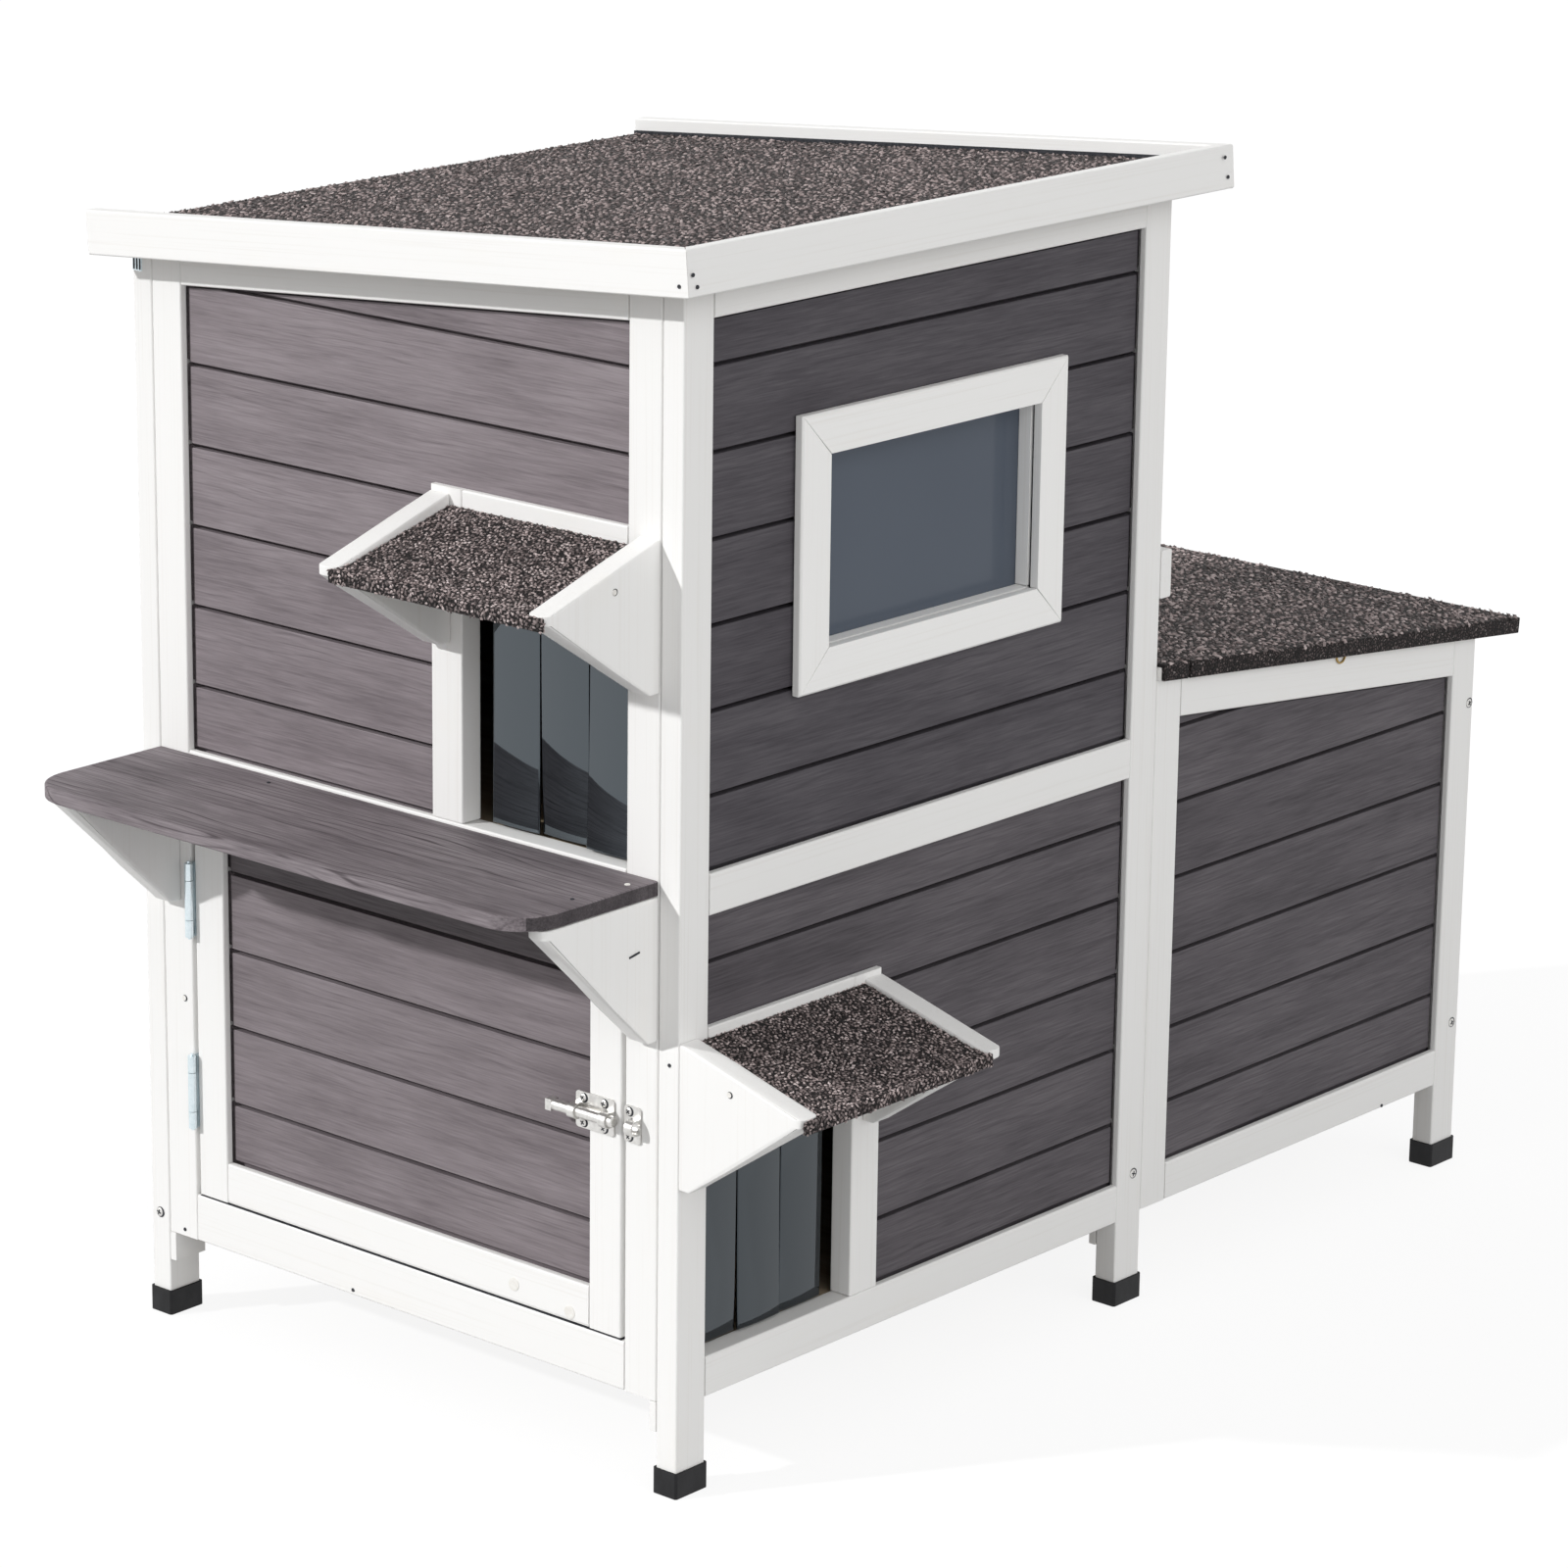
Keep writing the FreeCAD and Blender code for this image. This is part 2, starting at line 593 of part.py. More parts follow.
door_axis_x = -stile_half + door_gap / 2
door_axis_y = -knuckle_radius - knuckle_stand
door_hinge_fixed = []
door_hinge_moving = []
hinge_pins = []
leaf_reach = hinge_leaf + knuckle_radius
for z in (door_low + hinge_inset, door_high - hinge_inset):
    frame = hinge_frame(V(door_axis_x, door_axis_y, z), Z_AXIS, Y_AXIS)
    half_gap = door_gap / 2
    # Local Y points to -X here: the fixed leaf lies on the stile, the moving one on the door's edge
    door_hinge_fixed.append(hinge_half(frame, half_gap - leaf_thickness, half_gap, END_KNUCKLES, leaf_reach))
    door_hinge_moving.append(hinge_half(frame, -half_gap, leaf_thickness - half_gap, MIDDLE_KNUCKLE, leaf_reach))
    hinge_pins.append(hinge_pin(frame))


# Barrel bolt
bolt_z = (door_low + door_high) / 2 + bolt_rise
bolt_y = -sheet - bolt_lift - bolt_radius - bolt_clearance


def bolt_guide(x):
    """An arch over the bolt, standing on the door's or the frame's face."""
    bore = bolt_radius + bolt_clearance
    crown = bore + guide_wall
    arch = Part.makeCylinder(crown, guide_width, V(x, bolt_y, bolt_z), X_AXIS)
    arch = arch.fuse(box(x, x + guide_width, bolt_y, 0, bolt_z - crown, bolt_z + crown))
    return arch.cut(Part.makeCylinder(bore, guide_width, V(x, bolt_y, bolt_z), X_AXIS))


def fixing_plate(x0, x1):
    """A sheet plate with eased corners, flat on the wood."""
    plate = box(x0, x1, -sheet, 0, bolt_z - plate_height / 2, bolt_z + plate_height / 2)
    corners = [e for e in plate.Edges if abs(e.tangentAt(e.FirstParameter).y) > 0.99]
    return plate.makeFillet(plate_corner, corners)


plate_left = door_inner_right - plate_overlap
plate_right = plate_left + plate_length
bolt_plate = fixing_plate(plate_left, plate_right)
for x in (plate_left, plate_right - guide_width):
    bolt_plate = bolt_plate.fuse(bolt_guide(x))
bolt_bore = Part.makeCylinder(bolt_radius + bolt_clearance, plate_length, V(plate_left, bolt_y, bolt_z), X_AXIS)
bolt_plate = bolt_plate.cut(bolt_bore).removeSplitter()
bolt_tip = door_right - bolt_tip_gap
tail_right = plate_left - tail_gap - bolt_travel
bolt = Part.makeCylinder(bolt_radius, bolt_tip - tail_right, V(tail_right, bolt_y, bolt_z), X_AXIS)
tip_edges = [e for e in bolt.Edges if e.BoundBox.XMin > bolt_tip - 0.01]
bolt = bolt.makeChamfer(outline_ease, tip_edges)
tail = box(tail_right - tail_length, tail_right, bolt_y - bolt_radius, bolt_y + bolt_radius,
           bolt_z - bolt_radius, bolt_z + bolt_radius)
bolt = bolt.fuse(tail)
keeper_left = stile_half + keeper_inset
bolt_keeper = fixing_plate(keeper_left, keeper_left + keeper_length)
keeper_guide = bolt_guide(keeper_left + keeper_length - guide_width)
keeper_bore = Part.makeCylinder(bolt_radius + bolt_clearance, keeper_length, V(keeper_left, bolt_y, bolt_z), X_AXIS)
bolt_keeper = bolt_keeper.fuse(keeper_guide).cut(keeper_bore).removeSplitter()


# Strip curtains
strip_width = (cat_door_width - strip_first - strip_last - (strip_count - 1) * strip_gap) / strip_count


def strips(wall, u_first, way, sill, header_low):
    """Strips under a clamp bar; the first one starts beside u_first and the rest follow the way."""
    axis_z = header_low - clamp_height - strip_seat - strip_thickness / 2
    low = sill + strip_foot
    hung = []
    for k in range(strip_count):
        start = u_first + way * (strip_first + k * (strip_width + strip_gap))
        u0 = min(start, start + way * strip_width)
        half = strip_thickness / 2
        flat = box(u0, u0 + strip_width, strip_set_back - half, strip_set_back + half, low, axis_z)
        top = Part.makeCylinder(half, strip_width, V(u0, strip_set_back, axis_z), X_AXIS)
        hung.append(put(flat.fuse(top).removeSplitter(), wall))
    return hung, axis_z


def clamp_bar(wall, u0, u1, header_low):
    """The bar under a header that the strips hang from."""
    low = strip_set_back - clamp_depth / 2
    return put(box(u0, u1, low, low + clamp_depth, header_low - clamp_height, header_low), wall)


upper_strips, upper_strip_z = strips(FRONT_WALL, front_stile, -1, mid_rail_high, upper_header_low)
lower_strips, lower_strip_z = strips(RIGHT_WALL, member_width, 1, rail_high, lower_header_low)
strip_clamps = [clamp_bar(FRONT_WALL, front_jamb_far, front_stile, upper_header_low),
                clamp_bar(RIGHT_WALL, member_width, jamb_near, lower_header_low)]


# Extension
lid_space = above(LID_PLANE, 0)
extension_field_top = above(LID_PLANE, rebate - member_width)


def extension_side(wall, near_first):
    """Frame and boards of an extension side wall; near_first when u starts at the main house."""
    far = extension_depth - member_width
    near_foot, far_foot = (extension_low, foot_base) if near_first else (foot_base, extension_low)
    bars = [member(0, member_width, 0, stock, near_foot, extension_height + stock),
            member(far, extension_depth, 0, stock, far_foot, extension_height + stock),
            member(member_width, far, 0, stock, extension_low, extension_rail_high)]
    bars = cut_all([put(b, wall) for b in bars], lid_space)
    x = wall.Base.x
    x0, x1 = (inner_half, half_width) if x > 0 else (-half_width, -inner_half)
    top = put(member(x0, x1, -extension_depth, 2 * extension_depth, -member_width, 0), LID_PLANE)
    between = box(-BEYOND, BEYOND, house_rear + member_width, extension_rear - member_width, 0, BEYOND)
    bars += top.common(between).Solids
    pocket = field(wall, member_width, far, extension_rail_high, extension_height).cut(extension_field_top)
    return cut_all(bars, pocket), boards(pocket, wall, extension_joint)


extension_right_frame, extension_right_boards = extension_side(EXT_RIGHT_WALL, True)
extension_left_frame, extension_left_boards = extension_side(EXT_LEFT_WALL, False)

rear_rail_top = extension_height - (extension_depth - stock) * lid_fall
rear_rail_low = extension_height - extension_depth * lid_fall - member_width
rear_bars = [member(u, u + member_width, 0, stock, extension_low, rear_rail_top) for u in (0, front_stile)]
rear_bars.append(member(member_width, front_stile, 0, stock, extension_low, extension_rail_high))
rear_bars.append(member(member_width, front_stile, 0, stock, rear_rail_low, rear_rail_low + 2 * member_width))
rear_pocket = field(EXT_REAR_WALL, member_width, front_stile, extension_rail_high, rear_rail_low)
extension_rear_frame = cut_all(cut_all([put(b, EXT_REAR_WALL) for b in rear_bars], lid_space), rear_pocket)
extension_rear_boards = boards(rear_pocket, EXT_REAR_WALL, extension_joint)

# Lid, flat in its own frame and then tilted
lid_cos = math.cos(math.radians(lid_angle))
lid_front = (member_width + lid_hinge_gap) / lid_cos
lid_rear = (extension_depth + lid_over_rear) / lid_cos
lid_half = half_width + lid_over_side
lid_top = lid_seat + lid_deck + lid_felt
lid_board = box(-lid_half, lid_half, lid_front, lid_rear - lid_felt, lid_seat, lid_seat + lid_deck)


def lid_cover(start, end, board_end):
    """Felt over the lid's board between two places down the slope, with lips over the board's sides."""
    lip = lid_seat - lid_lip
    wrap = box(-lid_half - lid_felt, lid_half + lid_felt, start, end, lip, lid_top)
    return put(wrap.cut(box(-lid_half, lid_half, start, board_end, lip, lid_seat + lid_deck)), LID_PLANE)


lid_felt_sheet = lid_cover(lid_front, lid_rear, lid_rear - lid_felt)
lid_deck_board = put(lid_board, LID_PLANE)
batten_half = inner_half - lid_batten_inset
lid_battens = []
rear_batten_start = (extension_depth - stock) / lid_cos - lid_batten_rear - lid_batten_width
for y0 in (lid_front + lid_batten_front, rear_batten_start):
    batten = member(-batten_half, batten_half, y0, y0 + lid_batten_width, lid_seat - lid_batten_depth, lid_seat)
    lid_battens.append(put(batten, LID_PLANE))

# Hinge rail against the main house, notched over the side walls and covered with felt like the lid
strip_end = lid_front - lid_hinge_gap
main_side = box(-BEYOND, BEYOND, -BEYOND, house_rear, -BEYOND, BEYOND)
rail_cap = put(box(-lid_half, lid_half, -member_width, strip_end, 0, lid_seat + lid_deck), LID_PLANE)
rail_stem = box(-inner_half, inner_half, house_rear, house_rear + member_width,
                extension_height - hinge_rail_height, extension_height).cut(lid_space)
lid_hinge_rail = rail_cap.fuse(rail_stem).cut(main_side).removeSplitter()
lid_front_felt = lid_cover(-member_width, strip_end, strip_end).cut(main_side)

# Lid hinges lie flat on the felt
lid_normal = LID_PLANE.Rotation.multVec(Z_AXIS)
lid_way = LID_PLANE.Rotation.multVec(Y_AXIS)
lid_edge = LID_PLANE.multVec(V(0, lid_front - lid_hinge_gap / 2, lid_top))
lid_axis = lid_edge + lid_normal * knuckle_radius
rear_batten_low = lid_axis.z - knuckle_radius + rear_batten_rise
rear_batten = member(-half_width, half_width, house_rear, house_rear + rear_batten_thickness,
                     rear_batten_low, rear_batten_low + rear_batten_height)
lid_hinge_fixed = []
lid_hinge_moving = []
for x in (-lid_hinge_x, lid_hinge_x):
    centre = V(x, lid_axis.y, lid_axis.z)
    fixed = hinge_frame(centre, X_AXIS, -lid_way)
    moving = hinge_frame(centre, X_AXIS, lid_way)
    # Local Y points down on the fixed side and up on the moving side
    lid_hinge_fixed.append(
        hinge_half(fixed, knuckle_radius - leaf_thickness, knuckle_radius, END_KNUCKLES, leaf_reach))
    lid_hinge_moving.append(
        hinge_half(moving, -knuckle_radius, leaf_thickness - knuckle_radius, MIDDLE_KNUCKLE, leaf_reach))
    hinge_pins.append(hinge_pin(fixed))

nodes = {
    "right_side_frame": right_frame,
    "left_side_frame": left_frame,
    "front_frame": front_frame,
    "rear_frame": rear_frame,
    "right_upper_boards": boards(right_upper, RIGHT_WALL, upper_joint),
    "right_lower_boards": boards(right_lower, RIGHT_WALL, lower_joint),
    "left_boards": boards(left_upper, LEFT_WALL, upper_joint) + boards(left_lower, LEFT_WALL, lower_joint),
    "front_upper_boards": boards(front_upper, FRONT_WALL, front_joint),
    "rear_boards": boards(rear_upper, REAR_WALL, upper_joint) + boards(rear_lower, REAR_WALL, lower_joint),
    "window_frame": window_trim_frame(),
    "window_pane": [window_pane],
    "window_lining": window_strips(window_lining, board_recess + lining_gap, stock),
    "window_beads": window_strips(pane_margin, pane_inside, pane_inside + bead_thickness),
    "foot_caps": foot_caps,
    "corner_blocks": corner_blocks,
    "main_floor": [main_floor],
    "upper_floor": [upper_floor],
    "extension_floor": [extension_floor],
    "floor_cleats": floor_cleats,
    "roof_deck": [roof_deck],
    "roof_felt": [roof_felt],
    "front_fascia": [front_fascia],
    "rear_fascia": [rear_fascia],
    "right_fascia": [right_fascia],
    "upper_canopy_cheeks": upper_canopy[0],
    "canopy_decks": [upper_canopy[1], lower_canopy[1]],
    "upper_canopy_felt": [upper_canopy[2]],
    "lower_canopy_cheeks": lower_canopy[0],
    "lower_canopy_felt": [lower_canopy[2]],
    "shelf": [shelf],
    "shelf_brackets": shelf_brackets,
    "door_frame": door_frame,
    "door_boards": door_boards,
    "door_hinge_fixed_leaves": door_hinge_fixed,
    "door_hinge_moving_leaves": door_hinge_moving,
    "hinge_pins": hinge_pins,
    "bolt_plate": [bolt_plate],
    "bolt": [bolt],
    "bolt_keeper": [bolt_keeper],
    "strip_clamps": strip_clamps,
    "extension_right_frame": extension_right_frame,
    "extension_right_boards": extension_right_boards,
    "extension_left_frame": extension_left_frame,
    "extension_left_boards": extension_left_boards,
    "extension_rear_frame": extension_rear_frame,
    "extension_rear_boards": extension_rear_boards,
    "rear_batten": [rear_batten],
    "lid_hinge_rail": [lid_hinge_rail],
    "lid_front_felt": [lid_front_felt],
    "lid_deck": [lid_deck_board],
    "lid_felt": [lid_felt_sheet],
    "lid_battens": lid_battens,
    "lid_hinge_fixed_leaves": lid_hinge_fixed,
    "lid_hinge_moving_leaves": lid_hinge_moving,
}
for k in range(strip_count):
    nodes["upper_strip_%d" % (k + 1)] = [upper_strips[k]]
    nodes["lower_strip_%d" % (k + 1)] = [lower_strips[k]]

# The origin goes to the middle of the whole, on the floor
shapes = {name: Part.makeCompound([s for shape in group for s in shape.Solids]) for name, group in nodes.items()}
whole = Part.makeCompound(list(shapes.values())).BoundBox
shift = V(-whole.Center.x, -whole.Center.y, -whole.ZMin)
os.makedirs("parts", exist_ok=True)
for name, shape in shapes.items():
    shape.translated(shift).exportStep("parts/%s.step" % name)


def tell(label, point):
    """Prints a place in the finished frame, in metres."""
    p = point + shift
    print("%s %.5f %.5f %.5f" % (label, p.x / 1000, p.y / 1000, p.z / 1000))


print("nodes", len(shapes), "size", [round(s, 1) for s in (whole.XLength, whole.YLength, whole.ZLength)])
print("not valid", [name for name, shape in shapes.items() if not shape.isValid()])
tell("origin of the drawing", V(0, 0, 0))
tell("door axis", V(door_axis_x, door_axis_y, door_low))
tell("lid axis", lid_axis)
tell("upper strip axis", V(0, strip_set_back, upper_strip_z))
tell("lower strip axis", V(half_width - strip_set_back, 0, lower_strip_z))
tell("bolt axis", V(bolt_tip, bolt_y, bolt_z))
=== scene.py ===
"""Looks of the outdoor cat house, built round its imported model. Metres, in the model's own frame:
X runs across the front to the right, Y to the rear and Z up from the floor."""
import json
import math
import random

import bmesh
import bpy
import numpy as np
from mathutils import Matrix, Vector

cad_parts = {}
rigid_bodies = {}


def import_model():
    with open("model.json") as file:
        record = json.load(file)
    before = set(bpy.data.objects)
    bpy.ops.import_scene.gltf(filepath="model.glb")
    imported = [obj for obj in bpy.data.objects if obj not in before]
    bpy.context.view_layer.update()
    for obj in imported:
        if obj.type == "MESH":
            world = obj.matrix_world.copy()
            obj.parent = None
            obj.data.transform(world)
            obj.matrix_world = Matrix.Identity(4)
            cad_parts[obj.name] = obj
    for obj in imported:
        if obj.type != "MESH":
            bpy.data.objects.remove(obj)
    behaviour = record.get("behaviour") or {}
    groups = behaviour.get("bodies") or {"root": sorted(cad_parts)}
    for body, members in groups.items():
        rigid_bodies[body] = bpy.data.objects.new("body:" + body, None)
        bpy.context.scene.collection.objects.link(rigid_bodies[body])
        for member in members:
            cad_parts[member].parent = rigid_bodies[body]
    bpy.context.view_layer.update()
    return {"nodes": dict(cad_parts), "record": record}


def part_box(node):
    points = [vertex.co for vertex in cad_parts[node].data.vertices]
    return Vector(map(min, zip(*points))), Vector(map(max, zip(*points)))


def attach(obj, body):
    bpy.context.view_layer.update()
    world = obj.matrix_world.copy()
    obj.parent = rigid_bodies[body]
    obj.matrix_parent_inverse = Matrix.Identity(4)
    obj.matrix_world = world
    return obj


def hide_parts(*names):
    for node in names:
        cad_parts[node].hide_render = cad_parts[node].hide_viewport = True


for leftover in list(bpy.data.objects):
    bpy.data.objects.remove(leftover)
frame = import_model()
draw = random.Random(11)
scene = bpy.context.scene

MM = 0.001
X_WAY = Vector((1, 0, 0))
Y_WAY = Vector((0, 1, 0))
Z_WAY = Vector((0, 0, 1))
BODY_OF = {node: body for body, nodes in frame["record"]["behaviour"]["bodies"].items() for node in nodes}

# Fine limits: digits of a corner's place, width of a cut, a touch and the turn within one flat face
CORNER_DIGITS = 6
CUT_WIDTH = 1e-7
TOUCH = 1e-6
FLAT = math.radians(0.4)

# Rounding of edges
TIMBER_ARRIS = 0.4 * MM
BOARD_ARRIS = 0.35 * MM
METAL_ARRIS = 0.25 * MM
FOOT_ARRIS = 0.5 * MM
PANE_ARRIS = 0.3 * MM
FELT_ARRIS = 0.9 * MM
ARRIS_STEPS = 2
SHARP = math.radians(25)
CREASE = math.radians(40)

# Rounded ends of cheeks and brackets
NOSE_RADIUS = 7.0 * MM
NOSE_DEPTH = 2.5 * MM
NOSE_CUTS = (0.0, 0.35, 0.6, 0.8, 0.93)

# Front corners of the shelf, and the sizes of its brackets
SHELF_CORNER = 22.5 * MM
CORNER_GROWTH = 1.5
BRACKET_REACH = 0.955
BRACKET_FALL = 0.97

# The upper canopy's felt lies lower at the wall, and the door hangs low
CANOPY_LEVEL = 0.5
CANOPY_REACH = 102.5 * MM
CANOPY_SAG = 4.5 * MM
DOOR_DROP = 1.0 * MM
FRONT_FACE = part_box("front_frame")[0].y
DOOR_LOW, DOOR_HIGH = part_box("door_frame")

# Dark line between the boards and the frame that they are let into
REBATE = 6.0 * MM
GAP_WIDTH = 1.8 * MM
EDGE_INSET = REBATE + GAP_WIDTH
GAP_STEP = 0.2 * MM
GAP_DEPTH = 5.0 * MM

# Dark slot in the groove between two boards, partly in each
SLOT_ABOVE = 1.7 * MM
SLOT_BELOW = 1.1 * MM
SLOT_DEPTH = 7.5 * MM

# Dark lines at the members' joints and round the window's trim
JOINT_GAP = 0.25 * MM
FACE_SINK = 0.7 * MM
FACE_SKIN = 3.0 * MM


def put(name, data):
    """A new object in the scene."""
    thing = bpy.data.objects.new(name, data)
    scene.collection.objects.link(thing)
    return thing


def rgb(red, green, blue):
    """A colour with full cover."""
    return red, green, blue, 1.0


def grey(level):
    """A grey with full cover."""
    return level, level, level, 1.0


class Graph:
    """A node tree that is built one node at a time."""

    def __init__(self, tree):
        self.tree = tree

    def add(self, kind, inputs=None, **settings):
        """A new node; an input given as a socket is linked, and any other value is set."""
        node = self.tree.nodes.new(kind)
        for key, value in settings.items():
            setattr(node, key, value)
        for key, value in (inputs or {}).items():
            if isinstance(value, bpy.types.NodeSocket):
                self.tree.links.new(value, node.inputs[key])
            else:
                node.inputs[key].default_value = value
        return node

    def out(self, kind, inputs=None, **settings):
        """A new node's first output."""
        return self.add(kind, inputs, **settings).outputs[0]

    def maths(self, operation, first, second=0.0):
        return self.out("ShaderNodeMath", {0: first, 1: second}, operation=operation)

    def plus(self, first, second):
        return self.maths("ADD", first, second)

    def minus(self, first, second):
        return self.maths("SUBTRACT", first, second)

    def times(self, first, second):
        return self.maths("MULTIPLY", first, second)


class Finish(Graph):
    """A material."""

    def __init__(self, name):
        self.material = bpy.data.materials.new(name)
        self.material.use_nodes = True
        super().__init__(self.material.node_tree)
        self.tree.nodes.clear()

    def mix(self, share, first, second, way="MIX"):
        inputs = {0: share, 6: first, 7: second}
        return self.add("ShaderNodeMix", inputs, data_type="RGBA", blend_type=way).outputs[2]

    def ramp(self, share, stops):
        node = self.add("ShaderNodeValToRGB", {0: share})
        elements = node.color_ramp.elements
        while len(elements) < len(stops):
            elements.new(0.5)
        for element, (place, colour) in zip(elements, stops):
            element.position = place
            element.color = colour
        return node.outputs[0]

    def noise(self, vector, scales, detail, roughness):
        stretched = self.out("ShaderNodeVectorMath", {0: vector, 1: scales}, operation="MULTIPLY")
        inputs = {"Vector": stretched, "Scale": 1.0, "Detail": detail, "Roughness": roughness}
        return self.out("ShaderNodeTexNoise", inputs)

    def attribute(self, name, output):
        return self.add("ShaderNodeAttribute", attribute_name=name).outputs[output]

    def member(self):
        """A place in the member's own grain, and the member's tone."""
        return self.attribute("grain", "Vector"), self.attribute("tone", "Fac")

    def place(self):
        return self.add("ShaderNodeTexCoord").outputs["Object"]

    def bump(self, height, strength, distance):
        inputs = {"Strength": strength, "Distance": distance, "Height": height}
        return self.out("ShaderNodeBump", inputs)

    def surface(self, **inputs):
        """Ends the finish in a shader; an input's spaces are written as underscores."""
        named = {key.replace("_", " "): value for key, value in inputs.items()}
        self.add("ShaderNodeOutputMaterial", {"Surface": self.out("ShaderNodeBsdfPrincipled", named)})
        return self.material


# Finishes
def white_paint(name, coats=1.0):
    """Thin white paint on softwood whose grain just shows; more coats are whiter."""
    f = Finish(name)
    grain, tone = f.member()
    fibre = f.noise(grain, (5, 520, 520), 4.0, 0.6)
    bands = f.noise(grain, (1.5, 75, 75), 2.0, 0.5)
    patches = f.noise(grain, (14, 30, 30), 2.0, 0.5)
    lines = f.ramp(fibre, [(0.28, rgb(0.815, 0.80, 0.775)), (0.46, rgb(0.868, 0.862, 0.848))])
    banded = f.mix(f.times(bands, 0.45), lines, rgb(0.875, 0.87, 0.858))
    warm = f.ramp(patches, [(0.62, grey(0)), (0.85, grey(0.30))])
    toned = f.mix(warm, banded, rgb(0.85, 0.82, 0.76))
    shade = f.mix(f.times(tone, 0.08), toned, rgb(0.82, 0.82, 0.81))
    shade = f.mix(1.0, shade, grey(coats), "MULTIPLY")
    gloss = f.ramp(fibre, [(0.2, grey(0.62)), (0.8, grey(0.46))])
    relief = f.bump(fibre, 0.10, 0.3 * MM)
    return f.surface(Base_Color=shade, Roughness=gloss, Normal=relief, Specular_IOR_Level=0.35)


# Growth rings of the stained boards: their pitch and waviness, and where the pith lies behind a board
RING_PITCH = 5.2 * MM
RING_WANDER = 45 * MM
PITH_SPREAD = 60 * MM
PITH_DEPTH = 18 * MM


def stain(name, dark, middle, light, sheen, figure=0.085):
    """Grey stain on softwood with fibres, soft bands and growth lines; figure is the lines' strength."""
    f = Finish("grey_stain_" + name)
    grain, tone = f.member()
    parts = f.add("ShaderNodeSeparateXYZ", {0: grain}).outputs
    wander = f.noise(grain, (3.0, 16, 16), 3.0, 0.55)
    shift = f.times(f.minus(wander, 0.5), RING_WANDER)
    pith = f.times(f.minus(tone, 0.5), PITH_SPREAD)
    across = f.plus(f.plus(parts[1], shift), pith)
    through = f.plus(parts[2], PITH_DEPTH)
    radius = f.maths("SQRT", f.plus(f.maths("POWER", across, 2.0), f.maths("POWER", through, 2.0)))
    wave = f.maths("SINE", f.times(radius, 2 * math.pi / RING_PITCH))
    growth = f.ramp(wave, [(0.72, grey(0)), (1.0, grey(1))])
    fibre = f.noise(grain, (34, 900, 900), 4.0, 0.6)
    bands = f.noise(grain, (5.0, 70, 70), 3.0, 0.5)
    blotch = f.noise(grain, (11, 26, 26), 3.0, 0.5)
    shown_growth = f.times(growth, f.ramp(blotch, [(0.40, grey(0)), (0.62, grey(1))]))
    mixed = f.plus(f.times(fibre, 0.42), f.times(bands, 0.26))
    mixed = f.plus(mixed, f.times(blotch, 0.32))
    mixed = f.minus(mixed, f.times(shown_growth, figure))
    mixed = f.plus(mixed, f.times(f.minus(tone, 0.5), 0.06))
    colour = f.ramp(mixed, [(0.34, rgb(*dark)), (0.50, rgb(*middle)), (0.66, rgb(*light))])
    gloss = f.ramp(fibre, [(0.25, grey(0.70)), (0.75, grey(0.50))])
    relief = f.bump(mixed, 0.30, 0.4 * MM)
    return f.surface(Base_Color=colour, Roughness=gloss, Normal=relief, Specular_IOR_Level=sheen)


def bare_softwood():
    """Planed pine left bare inside the house."""
    f = Finish("bare_softwood")
    grain, tone = f.member()
    fibre = f.noise(grain, (7, 420, 420), 4.0, 0.6)
    bands = f.noise(grain, (1.6, 55, 55), 3.0, 0.5)
    mixed = f.plus(f.times(fibre, 0.4), f.times(bands, 0.6))
    mixed = f.plus(mixed, f.times(tone, 0.06))
    colour = f.ramp(mixed, [(0.35, rgb(0.24, 0.17, 0.11)), (0.52, rgb(0.33, 0.26, 0.18)),
                            (0.7, rgb(0.40, 0.33, 0.24))])
    relief = f.bump(fibre, 0.3, 0.4 * MM)
    return f.surface(Base_Color=colour, Roughness=0.6, Normal=relief, Specular_IOR_Level=0.3)


FELT_TONES = [(0.0, rgb(0.02, 0.016, 0.016)), (0.35, rgb(0.135, 0.104, 0.102)),
              (0.65, rgb(0.33, 0.263, 0.257)), (0.85, rgb(0.50, 0.41, 0.40)),
              (1.0, rgb(0.72, 0.62, 0.61))]
FELT_CELLS = 360.0
FELT_SHADE = 0.60
FELT_DRIFT = 3.2 * MM


def felt_sheet():
    """Mineral felt: packed granules of mixed greys in black bitumen, with worn dark patches."""
    f = Finish("felt_sheet")
    place = f.place()
    wander = f.add("ShaderNodeTexNoise", {"Vector": place, "Scale": 210.0, "Detail": 2.0})
    drift = f.out("ShaderNodeVectorMath", {0: wander.outputs["Color"], 3: FELT_DRIFT}, operation="SCALE")
    drifted = f.out("ShaderNodeVectorMath", {0: place, 1: drift})
    pattern = {"Vector": drifted, "Scale": FELT_CELLS, "Randomness": 0.9}
    cells = f.add("ShaderNodeTexVoronoi", pattern).outputs["Color"]
    edges = f.add("ShaderNodeTexVoronoi", pattern, feature="DISTANCE_TO_EDGE").outputs["Distance"]
    pick = f.out("ShaderNodeSeparateColor", {0: cells})
    clumps = f.noise(place, (70,) * 3, 3.0, 0.6)
    pick = f.plus(pick, f.times(f.minus(clumps, 0.5), 0.5))
    seam = f.ramp(edges, [(0.08, grey(0)), (0.36, grey(FELT_SHADE))])
    colour = f.mix(seam, rgb(0.006, 0.005, 0.005), f.ramp(pick, FELT_TONES))
    relief = f.bump(f.maths("MINIMUM", edges, 0.35), 1.0, 3.0 * MM)
    return f.surface(Base_Color=colour, Roughness=0.8, Normal=relief, Specular_IOR_Level=0.3)


